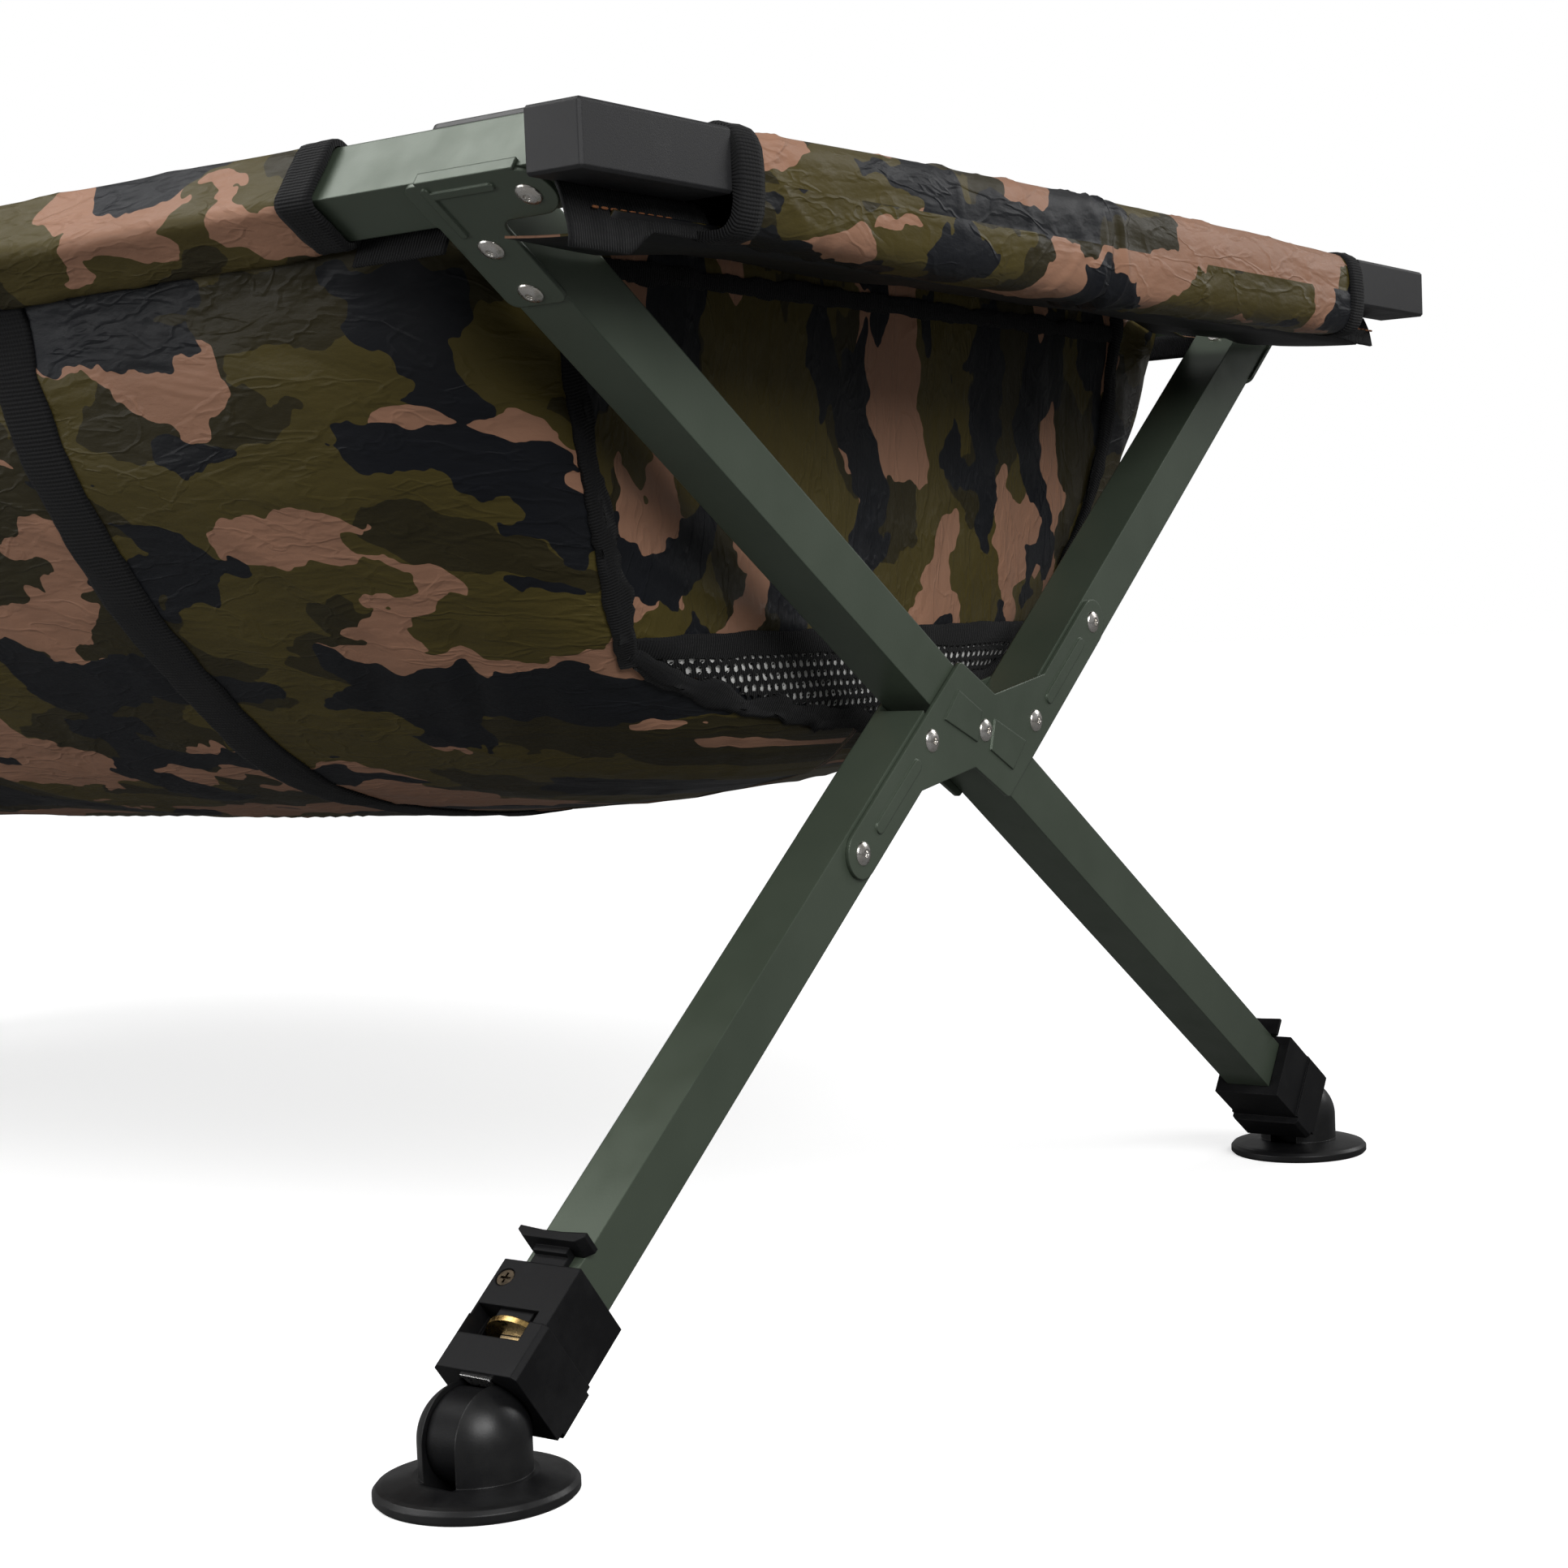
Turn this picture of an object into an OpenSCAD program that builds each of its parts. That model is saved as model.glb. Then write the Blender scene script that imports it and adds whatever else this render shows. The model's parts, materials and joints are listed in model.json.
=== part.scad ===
// Folding cot: two side rails on a pair of X legs that scissor closed, folding spreader bars
// across the ends, telescopic feet on swivel pads, and a deep fabric sling hung between the rails.
// X runs along the cot, Y across it and Z up; the origin is on the ground under its centre.

/* [Cot] */
// Length over the corner caps
cot_length = 1200; // [1100:10:1300]
// Distance between the centres of the side rails
rail_span = 552.6; // [545:0.2:565]
// Height of the side rails' centres
rail_height = 409.5; // [400:0.5:420]
// Distance between the foot pivots of one leg pair
foot_span = 597.6; // [585:0.2:610]
// Height of the foot pivots
foot_height = 18; // [18:0.5:20]

/* [Frame tubes] */
// Width of the square leg tube
tube = 22; // [20:0.5:22]
// Wall of every tube
wall = 1.3; // [1:0.1:2]
// Height of a rail's section along its leg
rail_depth = 20; // [18:0.5:20]
// Distance from the end of the cot to the middle of its leg pair
leg_inset = 72; // [70:1:80]
// Side step of each half arm from the crossing pivot
arm_offset = 22.6; // [22.4:0.1:24]
// Distance from the crossing pivot to the start of a half arm
arm_start = 27; // [26:0.5:30]

/* [Plates and fasteners] */
// Thickness of the pressed steel plates
plate = 1.6; // [1.2:0.1:2]
// Radius of a rivet's shaft
rivet_r = 2.4; // [2:0.1:2.5]
// Radius of the crossing pivot
pivot_r = 3; // [2.5:0.1:3.5]
// Radial clearance of every turning pin
pin_gap = 0.06; // [0.03:0.01:0.1]

/* [End bars] */
// Depth of a corner cap along the cot
cap_depth = 21.7; // [21:0.1:24]
// Length of a corner cap across the cot
cap_length = 72; // [70:1:80]
// Height of a corner cap
cap_height = 20.5; // [19:0.5:22]
// Height of a spreader bar's flat section
bar_height = 15; // [12:0.5:16]
// Thickness of a spreader bar
bar_thick = 6; // [5:0.5:6]

/* [Feet] */
// Radius of the foot pad
pad_r = 32.5; // [30:0.5:35]
// Radius of the domed cheeks on the pad
cheek_r = 18; // [17:0.5:18.5]
// Radius of the knuckle between the cheeks
knuckle_r = 15; // [13:0.5:15.2]
// Width of the steel inner leg
inner_leg_w = 14; // [12:0.5:14]
// How far each foot extends
foot_travel = 60; // [40:5:65]
// How far the release slider moves
release_travel = 4; // [3:0.5:4]

/* [Sling] */
// Thickness of the sling fabric's solid
sling_wall = 3; // [2:0.5:4]
// Distance from each end of the cot to the sling's end wall
sling_inset = 102; // [98:1:110]
// Distance from each end of the cot to the hem of a rail sleeve
sleeve_inset = 124; // [110:1:140]
// Width of a webbing strap under the sling
strap_width = 25; // [20:1:30]
// Distance of each webbing strap from the middle
strap_x = 295; // [250:5:320]

/* [Hidden] */
ENDS = [["front", 1], ["rear", -1]];
SIDES = [["left", -1], ["right", 1]];
FOOT_PARTS = ["housing", "slider", "lock_plate", "inner_leg", "knuckle", "foot_pad", "foot_pin"];
$fn = 48;

// Angles of the long leg and of the two half arms, measured from the ground
leg_rise = rail_height - foot_height;
leg_run = (rail_span + foot_span) / 2;
long_angle = atan2(leg_rise, leg_run);
arm_angle = long_angle + asin(2 * arm_offset / norm([leg_run, leg_rise]));
// The crossing pivot lies on the long leg, the same distance from both half arms
foot_reach = (foot_span * sin(arm_angle) - arm_offset) / sin(long_angle + arm_angle);
rail_reach = norm([leg_run, leg_rise]) - foot_reach;
pivot_y = foot_span / 2 - foot_reach * cos(long_angle);
pivot_z = foot_height + foot_reach * sin(long_angle);
// The same reaches along the half arms
arm_rail_reach = (rail_span / 2 - pivot_y) * cos(arm_angle) + (rail_height - pivot_z) * sin(arm_angle);
arm_foot_reach = (foot_span / 2 + pivot_y) * cos(arm_angle) + (pivot_z - foot_height) * sin(arm_angle);

half = tube / 2;
rail_end = cot_length / 2 - cap_depth;
leg_gap = 0.3;
green = "#3c4636";
black = "#262626";
steel = "#c8c8c8";
brass = "#b08d3f";
camo = "#5a4f3a";

// Bracket sizes, from the rail's centre line down the leg and from the leg's middle outwards
bracket_foot = 49;
bracket_half = 12;
rail_rivet_x = 31;
bracket_rivets = [21.3, 43];
inner_bracket_foot = 31;
inner_plate_t = 2.2;
lip = 1.2;

// Rivets of the crossing plates, along an arm from the pivot
plate_rivets = [32, 95];
plate_arm_r = 9.5;
rib_rise = 0.7;
// Corners of the panel pressed into a crossing plate beside the pivot
pressed_panel = [[-5, 25], [2.5, 8], [-8, 1], [-20, 23]];

// Stations along a leg, measured up from the foot pivot; face_z and slider_z stand outwards from it
housing_bottom = 13;
housing_step = 34;
housing_top = 57;
tube_end = 42;
window_bottom = 26.5;
window_top = 39;
inner_leg_bottom = cheek_r + 0.6;
inner_leg_top = 130;
guide_length = 14;
face_z = 15;
slider_z = 11.2;
lock_r = 14.5;
lock_centre = [-0.5, 0.8];
lock_y = 33.5;
lock_t = 2;
screw_spot = [-11.5, 50];

// End bars: hinge place, and the two flat bars side by side along the cot
bar_hinge_y = 226;
bar_pin_r = 2;
left_bar_x = cot_length / 2 - 9;
right_bar_x = cot_length / 2 - 17;
bar_overlap = 12;

// Sling: height, half width and half length reduction of each ring, and its squareness
sling_top = 389;
sling_rings = [
    [190.5, 40, 230, 2.2],
    [195, 78, 130, 2.6],
    [208, 125, 34, 3.4],
    [220, 147, 15, 4],
    [237, 171, 8, 4.6],
    [266, 206, 5, 5.2],
    [298, 232, 3, 5.8],
    [330, 254, 1, 6.4],
    [362, 267, 0, 7],
    [sling_top, 271, 0, 7]
];
sling_bottom = 189.5;
ring_points = 56;
sling_half_length = cot_length / 2 - sling_inset;

// ---- Frames of reference ----

// One end's leg pair: X starts in the middle of the legs and points off the end of the cot
module at_end(end) {
    mirror([end < 0 ? 1 : 0, 0, 0])
        translate([cot_length / 2 - leg_inset, 0, 0]) children();
}

// Along the long leg: Y runs down to its foot, Z faces the sling
module along_long_leg() {
    translate([0, pivot_y, pivot_z]) rotate([-long_angle, 0, 0]) children();
}

// Along the half arms: Y runs up to the right rail
module along_arms() {
    translate([0, pivot_y, pivot_z]) rotate([arm_angle, 0, 0]) children();
}

// At a rail's centre line: Y runs down its leg, Z faces the sling
module at_rail(side) {
    mirror([0, side > 0 ? 1 : 0, 0])
        translate([0, -rail_span / 2, rail_height])
            rotate([side < 0 ? -long_angle : -arm_angle, 0, 0]) children();
}

// At a foot pivot: Y runs up the leg, Z faces up and outwards
module at_foot(end, side) {
    at_end(end) mirror([0, side > 0 ? 1 : 0, 0])
        translate([0, -foot_span / 2, foot_height])
            rotate([side > 0 ? long_angle : arm_angle, 0, 0]) children();
}

// At a foot pivot, but level
module at_pad(end, side) {
    at_end(end) mirror([0, side > 0 ? 1 : 0, 0])
        translate([0, -foot_span / 2, foot_height]) children();
}

// ---- Shared shapes ----

// A box given by its lowest and highest corners
module block(low, high) {
    translate(low) cube(high - low);
}

module hole_x(r, y, z, length = 60) {
    translate([-length / 2, y, z]) rotate([0, 90, 0]) cylinder(r = r, h = length);
}

module hole_z(r, x, y, length = 60) {
    translate([x, y, -length / 2]) cylinder(r = r, h = length);
}

// A square tube along Y
module tube_y(width_x, width_z, y0, y1) {
    difference() {
        block([-width_x / 2, y0, -width_z / 2], [width_x / 2, y1, width_z / 2]);
        block([-width_x / 2 + wall, y0 - 1, -width_z / 2 + wall], [width_x / 2 - wall, y1 + 1, width_z / 2 - wall]);
    }
}

// A rivet standing on the plane Z = 0, its shaft reaching down through the work
module rivet(length, r = rivet_r) {
    rotate_extrude() polygon([
        [0, 0.7], [1, 0.8], [1.3, 1.6], [2, 1.55], [3, 1.25], [4.2, 0.6], [4.6, 0],
        [r, 0], [r, -length], [3.6, -length], [3.4, -length - 0.9], [0, -length - 1.1]
    ]);
}

// A pressed rib with round ends, lying along Y
module rib(length, width) {
    translate([-width / 2, -length / 2, 0]) cube([width, length, rib_rise]);
    for (y = [-length / 2, length / 2]) translate([0, y, 0]) cylinder(d = width, h = rib_rise);
}

// ---- Frame ----

module rail(side) {
    color(green) at_rail(side) difference() {
        block([-rail_end, -rail_depth / 2, -half], [rail_end, rail_depth / 2, half]);
        block([-rail_end - 1, -rail_depth / 2 + wall, -half + wall], [rail_end + 1, rail_depth / 2 - wall, half - wall]);
        for (end = [-1, 1]) hole_z(rivet_r, end * (cot_length / 2 - leg_inset + rail_rivet_x), 0.7);
    }
}

module long_leg(end) {
    color(green) at_end(end) along_long_leg() difference() {
        tube_y(tube - 2 * leg_gap, tube, -rail_reach + rail_depth / 2 + 0.5, foot_reach - tube_end);
        hole_x(pivot_r + pin_gap, 0, 0);
        for (y = bracket_rivets) hole_z(rivet_r, 0, y - rail_reach);
    }
}

module upper_arm(end) {
    color(green) at_end(end) along_arms() translate([0, 0, -arm_offset]) difference() {
        tube_y(tube, tube, arm_start, arm_rail_reach - rail_depth / 2 - 0.5);
        for (y = plate_rivets) hole_x(rivet_r, y, 0);
        for (y = bracket_rivets) hole_z(rivet_r, 0, arm_rail_reach - y);
    }
}

module lower_arm(end) {
    color(green) at_end(end) along_arms() translate([0, 0, arm_offset]) difference() {
        tube_y(tube, tube, tube_end - arm_foot_reach, -arm_start);
        for (y = plate_rivets) hole_x(rivet_r, -y, 0);
    }
}

// Half of the crossing plate's outline; the other half is its half turn
function half_plate() = [
    [-plate_rivets[1], arm_offset + plate_arm_r],
    [4, arm_offset + plate_arm_r],
    [15, 6],
    [50, -arm_offset + plate_arm_r],
    [plate_rivets[1], -arm_offset + plate_arm_r]
];

module plate_outline() {
    offset(r = 3) offset(delta = -3) union() {
        polygon([for (turn = [1, -1], p = half_plate()) turn * p]);
        for (turn = [1, -1]) translate(turn * [plate_rivets[1], -arm_offset]) circle(plate_arm_r);
    }
}

// A crossing plate on the outer (face = 1) or the inner (face = -1) side of the legs
module crossing_plate(end, face) {
    color(green) at_end(end) along_arms()
        translate([face * half, 0, 0]) mirror([face < 0 ? 1 : 0, 0, 0])
            rotate([90, 0, 90]) difference() {
                union() {
                    linear_extrude(plate, $fn = 24) plate_outline();
                    for (turn = [1, -1]) {
                        translate([turn * 63.5, -turn * arm_offset, plate]) rotate(90) rib(34, 5);
                        translate([0, 0, plate]) linear_extrude(rib_rise)
                            polygon([for (p = pressed_panel) turn * p]);
                    }
                }
                for (turn = [1, -1], y = plate_rivets)
                    translate([turn * y, -turn * arm_offset, -1]) cylinder(r = rivet_r, h = 5);
                translate([0, 0, -1]) cylinder(r = pivot_r, h = 5);
            }
}

// ---- Corner brackets ----

// The L outline of a bracket: X outwards from the leg's middle, Y down the leg
module bracket_outline(foot) {
    offset(r = 4) offset(delta = -4) union() {
        translate([-bracket_half - 1.5, -rail_depth / 2]) square([rail_rivet_x + bracket_half + 1.5, rail_depth]);
        translate([rail_rivet_x, 0]) circle(rail_depth / 2);
        translate([-bracket_half, -rail_depth / 2]) square([2 * bracket_half, foot + rail_depth / 2]);
    }
    // The inside corner keeps a quarter round
    translate([bracket_half, rail_depth / 2]) difference() {
        square(5);
        translate([5, 5]) circle(5);
    }
}

module outer_bracket() {
    difference() {
        union() {
            translate([0, 0, -half - plate]) linear_extrude(plate, $fn = 24) bracket_outline(bracket_foot);
            block([-7, -rail_depth / 2 - lip, -half - plate], [33, -rail_depth / 2, -half + 2.5]);
            translate([-5, 3, -half - plate]) mirror([0, 0, 1]) rib(20, 3);
            translate([8, -5, -half - plate]) mirror([0, 0, 1]) rotate(90) rib(24, 3);
        }
        hole_z(rivet_r, rail_rivet_x, 0.7);
        for (y = bracket_rivets) hole_z(rivet_r, 0, y);
    }
}

module inner_bracket() {
    difference() {
        union() {
            translate([0, 0, half]) linear_extrude(inner_plate_t, $fn = 24) bracket_outline(inner_bracket_foot);
            block([rail_rivet_x, -rail_depth / 2, half], [rail_rivet_x + 17, -rail_depth / 2 + 6, half + inner_plate_t]);
        }
        hole_z(rivet_r, rail_rivet_x, 0.7);
        hole_z(rivet_r, 0, bracket_rivets[0]);
    }
}

// Both ends' brackets of one rail
module brackets(side, outer) {
    color(outer ? green : black) for (end = [-1, 1])
        mirror([end < 0 ? 1 : 0, 0, 0]) at_rail(side)
            translate([cot_length / 2 - leg_inset, 0, 0])
                if (outer) outer_bracket(); else inner_bracket();
}

// ---- Ends ----

// A corner cap with its spigot in the rail and the lug that carries its spreader bar
module corner_cap(side) {
    y0 = -rail_span / 2 - 30.7;
    y1 = y0 + cap_length;
    z0 = rail_height - cap_height / 2 - 0.5;
    x0 = rail_end;
    x1 = cot_length / 2;
    edge = 1;
    lug = side < 0 ? [right_bar_x - 1, left_bar_x - 0.2] : [right_bar_x + bar_thick + 0.2, x1 - 2];
    color(black) mirror([0, side > 0 ? 1 : 0, 0]) difference() {
        union() {
            hull() {
                block([x0, y0 + edge, z0 + edge], [x1 - edge, y1, z0 + cap_height - edge]);
                block([x0 + edge, y0 + edge, z0], [x1 - edge, y1, z0 + cap_height]);
                block([x0 + edge, y0, z0 + edge], [x1 - edge, y1, z0 + cap_height - edge]);
                block([x0 + edge, y0 + edge, z0 + edge], [x1, y1, z0 + cap_height - edge]);
            }
            block([lug[0], y1 - 1, rail_height - 7], [lug[1], -bar_hinge_y, rail_height + 7]);
            translate([lug[0], -bar_hinge_y, rail_height]) rotate([0, 90, 0]) cylinder(r = 7, h = lug[1] - lug[0]);
        }
        translate([lug[0] - 1, -bar_hinge_y, rail_height]) rotate([0, 90, 0]) cylinder(r = bar_pin_r, h = 30);
    }
    color(black) at_rail(side) difference() {
        block([rail_end - 24, -rail_depth / 2 + wall + 0.1, -half + wall + 0.1],
              [rail_end + 0.5, rail_depth / 2 - wall - 0.1, half - wall - 0.1]);
        hole_z(rivet_r, cot_length / 2 - leg_inset + rail_rivet_x, 0.7);
    }
}

module corner_caps(side) {
    for (end = [-1, 1]) mirror([end < 0 ? 1 : 0, 0, 0]) corner_cap(side);
}

module spreader_bar(end, side) {
    x0 = side < 0 ? left_bar_x : right_bar_x;
    color(steel) mirror([end < 0 ? 1 : 0, 0, 0]) mirror([0, side > 0 ? 1 : 0, 0])
        translate([x0, 0, rail_height]) difference() {
            union() {
                block([0, -bar_hinge_y, -bar_height / 2], [bar_thick, bar_overlap, bar_height / 2]);
                for (y = [-bar_hinge_y, bar_overlap])
                    translate([0, y, 0]) rotate([0, 90, 0]) cylinder(d = bar_height, h = bar_thick);
            }
            hole_x(bar_pin_r + pin_gap, -bar_hinge_y, 0);
            hole_x(2.5, 0, 0);
        }
}

// ---- Fasteners ----

module bracket_rivet_set(side) {
    for (end = [-1, 1]) mirror([end < 0 ? 1 : 0, 0, 0]) at_rail(side)
        translate([cot_length / 2 - leg_inset, 0, 0]) {
            translate([rail_rivet_x, 0.7, -half - plate]) mirror([0, 0, 1]) rivet(tube + plate + inner_plate_t);
            translate([0, bracket_rivets[0], -half - plate]) mirror([0, 0, 1]) rivet(tube + plate + inner_plate_t);
            translate([0, bracket_rivets[1], -half - plate]) mirror([0, 0, 1]) rivet(tube + plate);
        }
}

// The pins on which the spreader bars hinge, one at each end of the cot
module bar_pin_set(side) {
    for (end = [-1, 1]) mirror([end < 0 ? 1 : 0, 0, 0]) mirror([0, side > 0 ? 1 : 0, 0])
        translate([0, -bar_hinge_y, rail_height]) rotate([0, 90, 0]) {
            outer = side < 0 ? left_bar_x + bar_thick + 0.2 : right_bar_x - 1.4;
            translate([0, 0, outer]) cylinder(r = 3.6, h = 1.2);
            translate([0, 0, side < 0 ? right_bar_x - 0.5 : outer])
                cylinder(r = bar_pin_r, h = side < 0 ? outer - right_bar_x + 0.5 : 15);
        }
}

module left_frame_rivets() {
    color(steel) {
        bracket_rivet_set(-1);
        bar_pin_set(-1);
    }
}

module right_frame_rivets() {
    color(steel) {
        bracket_rivet_set(1);
        bar_pin_set(1);
        for (end = [-1, 1], turn = [1, -1], y = plate_rivets) at_end(end) along_arms()
            translate([half + plate, turn * y, -turn * arm_offset]) rotate([0, 90, 0]) rivet(tube + 2 * plate);
    }
}

module crossing_pivots() {
    color(steel) for (end = [-1, 1]) at_end(end) along_arms()
        translate([half + plate, 0, 0]) rotate([0, 90, 0]) rivet(tube + 2 * plate, pivot_r);
}

// Countersunk screws that hold the housings on one frame's legs
module frame_screws(side) {
    color(brass) for (end = [-1, 1]) at_foot(end, side)
        translate([screw_spot[0], screw_spot[1], face_z - 0.3]) difference() {
            rotate_extrude() polygon([[0, 0], [3.2, 0], [3.2, -0.4], [1.2, -1.2], [1.2, -3.2], [0, -3.2]]);
            for (turn = [0, 90]) rotate(turn) block([-2, -0.4, -0.9], [2, 0.4, 1]);
        }
}

// ---- Feet ----

module housing(end, side) {
    color(black) at_foot(end, side) difference() {
        union() {
            block([-16, housing_step - 1, -15.4], [16, housing_top, face_z]);
            block([-17, housing_bottom, -15.4], [17, housing_step, 16]);
            block([-17, housing_bottom + 3, -18.6], [17, housing_step - 2, 16]);
        }
        // Pocket of the leg tube, with the gap that the thinner long leg leaves
        block([-half, tube_end, -half], [half, housing_top + 1, half]);
        // Way of the inner leg, and the mouth that clears the cheeks of the pad
        block([-inner_leg_w / 2 - 0.3, 0, -inner_leg_w / 2 - 0.3], [inner_leg_w / 2 + 0.3, tube_end + 1, inner_leg_w / 2 + 0.3]);
        sphere(r = cheek_r + 0.6);
        // Chamber and window of the lock plate
        translate([lock_centre[0], lock_y - 6.5, lock_centre[1]]) rotate([-90, 0, 0]) cylinder(r = lock_r + 0.6, h = 11.5);
        block([-15.4, window_bottom, 7.5], [10, window_top, 20]);
        // Slot of the release slider
        block([-7.2, window_bottom, 11], [7.2, housing_top + 1, 13.6]);
        translate([screw_spot[0], screw_spot[1], 0]) {
            translate([0, 0, face_z - 0.7]) cylinder(r = 3.5, h = 2);
            translate([0, 0, 11.2]) cylinder(r = 1.2, h = 4);
            translate([0, 0, face_z - 1.6]) cylinder(r1 = 1.2, r2 = 3.5, h = 0.9);
        }
        // Chamfers along the outer edges
        for (x = [-1, 1], z = [[-15.4, -18.6, 1.6], [16, 16, 1.6]])
            translate([x * 17, 30, z[1]]) rotate([0, 45, 0]) cube([z[2] * 1.4, 90, z[2] * 1.4], center = true);
    }
}

module slider(end, side) {
    color(black) at_foot(end, side) {
        block([-7, lock_y + lock_t, slider_z], [7, 63, 13.4]);
        block([-7, housing_top + release_travel + 0.5, slider_z], [7, 64, 15.5]);
        translate([0, 63, slider_z]) linear_extrude(8) polygon([
            [-14, 3.2], [-11, 1], [11, 1], [14, 3.2], [14, 5], [4, 4.2], [-4, 4.2], [-14, 5]
        ]);
    }
}

module lock_plate(end, side) {
    color(brass) at_foot(end, side) difference() {
        translate([lock_centre[0], lock_y, lock_centre[1]]) rotate([-90, 0, 0]) cylinder(r = lock_r, h = lock_t);
        block([-inner_leg_w / 2 - 0.4, 0, -inner_leg_w / 2 - 0.4], [inner_leg_w / 2 + 0.4, 90, inner_leg_w / 2 + 0.4]);
    }
}

module inner_leg(end, side) {
    w = inner_leg_w / 2;
    guide = half - wall - 0.5;
    color(steel) at_foot(end, side) {
        block([-w, inner_leg_bottom, -w], [w, inner_leg_top, w]);
        block([-guide, inner_leg_top - guide_length, -guide], [guide, inner_leg_top, guide]);
    }
}

module knuckle(end, side) {
    color(black) at_foot(end, side) difference() {
        union() {
            translate([-6.5, 0, 0]) rotate([0, 90, 0]) cylinder(r = knuckle_r, h = 13);
            block([-6.5, 0, -6.8], [6.5, inner_leg_bottom, 6.8]);
        }
        hole_x(2.5 + pin_gap, 0, 0);
    }
}

module foot_pad(end, side) {
    slot_floor = -knuckle_r - 0.5;
    color(black) at_pad(end, side) difference() {
        union() {
            translate([0, 0, -foot_height]) rotate_extrude($fn = 96) polygon([
                [0, 0], [pad_r - 1, 0], [pad_r, 1], [pad_r, 3.2], [pad_r - 1.2, 4.6], [pad_r - 3, 5.2], [20, 7], [0, 7]
            ]);
            translate([0, 0, -foot_height + 5]) cylinder(r = cheek_r, h = foot_height - 5);
            difference() {
                sphere(r = cheek_r);
                block([-30, -30, -30], [30, 30, 0]);
            }
        }
        block([-6.75, -18.5, slot_floor], [6.75, 18.5, 30]);
        hole_x(2.5, 0, 0, 32);
    }
}

module foot_pin(end, side) {
    color(steel) at_pad(end, side) hole_x(2.5, 0, 0, 32);
}

// ---- Fabric ----

// One ring of the sling: a rounded oblong in plan, shrunk by inset and lifted by lift
function ring(r, inset, lift) = [
    for (i = [0 : ring_points - 1])
        let (turn = 360 * i / ring_points, p = 2 / r[3])
            [
                sign(cos(turn)) * pow(abs(cos(turn)), p) * (sling_half_length - r[2] - inset),
                sign(sin(turn)) * pow(abs(sin(turn)), p) * (r[1] - inset),
                r[0] + lift
            ]
];

module sling() {
    n = len(sling_rings);
    outer = [for (r = sling_rings) each ring(r, 0, 0)];
    inner = [for (i = [n - 1 : -1 : 0]) each ring(sling_rings[i], sling_wall, i == n - 1 ? 0 : sling_wall)];
    points = concat(outer, inner, [[0, 0, sling_bottom], [0, 0, sling_bottom + sling_wall]]);
    m = ring_points;
    rows = 2 * n;
    sides = [
        for (row = [0 : rows - 2], i = [0 : m - 1])
            let (j = (i + 1) % m)
                each [[row * m + i, (row + 1) * m + i, (row + 1) * m + j], [row * m + i, (row + 1) * m + j, row * m + j]]
    ];
    caps = [
        for (i = [0 : m - 1])
            let (j = (i + 1) % m)
                each [[rows * m, i, j], [rows * m + 1, (rows - 1) * m + j, (rows - 1) * m + i]]
    ];
    color(camo) polyhedron(points, concat(sides, caps));
}

// The tube of fabric on a side rail
module rail_sleeve(side) {
    gap = 0.4;
    cloth = 1.2;
    x = cot_length / 2 - sleeve_inset;
    a = [x, rail_depth / 2 + gap, half + gap];
    b = a + [0, cloth, cloth];
    color(camo) at_rail(side) difference() {
        block(-b, b);
        block(-a - [1, 0, 0], a + [1, 0, 0]);
    }
}

// The tube of fabric round each end's spreader bars, and the flap from it to the sling
module end_sleeves() {
    y = bar_hinge_y + 7.6;
    x0 = cot_length / 2 - 20;
    x1 = cot_length / 2;
    color(camo) for (end = [-1, 1]) mirror([end < 0 ? 1 : 0, 0, 0]) difference() {
        union() {
            block([x0, -y, 392], [x1, y, 423]);
            block([sling_half_length + 1, -195, 392], [x0 + 1, 195, 394]);
        }
        block([x0 + 1, -y - 1, 393.5], [x1 - 1, y + 1, 421.5]);
    }
}

// Webbing that passes under the sling from rail to rail
module webbing_straps() {
    gap = 1;
    under = [for (r = sling_rings) [r[1] + gap + 2, r[0] - gap]];
    over = [for (i = [len(under) - 1 : -1 : 0]) under[i] + [1.2, -1.2]];
    half_strap = concat([[0, sling_bottom - gap - 1]], under, over, [[0, sling_bottom - gap - 2.6]]);
    color(black) for (x = [-strap_x, strap_x], side = [0, 1])
        translate([x + strap_width / 2, 0, 0]) rotate([90, 0, -90]) mirror([side, 0, 0])
            linear_extrude(strap_width) polygon(half_strap);
}

// ---- Assembly ----

rail(-1);  // left_rail
rail(1);  // right_rail
brackets(-1, true);  // left_outer_brackets
brackets(1, true);  // right_outer_brackets
brackets(-1, false);  // left_inner_brackets
brackets(1, false);  // right_inner_brackets
corner_caps(-1);  // left_corner_caps
corner_caps(1);  // right_corner_caps
left_frame_rivets();
right_frame_rivets();
crossing_pivots();
frame_screws(1);  // left_frame_screws
frame_screws(-1);  // right_frame_screws
for (e = ENDS) {
    long_leg(e[1]);
    upper_arm(e[1]);
    lower_arm(e[1]);
    crossing_plate(e[1], 1);
    crossing_plate(e[1], -1);
    for (s = SIDES) {
        name = str(e[0], "_", s[0], "_");
        spreader_bar(e[1], s[1]);
        housing(e[1], s[1]);
        slider(e[1], s[1]);
        lock_plate(e[1], s[1]);
        inner_leg(e[1], s[1]);
        knuckle(e[1], s[1]);
        foot_pad(e[1], s[1]);
        foot_pin(e[1], s[1]);
    }
}
sling();
rail_sleeve(-1);  // left_rail_sleeve
rail_sleeve(1);  // right_rail_sleeve
end_sleeves();
webbing_straps();
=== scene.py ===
import json
import math
import random

import bmesh
import bpy
import numpy as np
from mathutils import Matrix, Vector, noise
from mathutils.bvhtree import BVHTree


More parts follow.
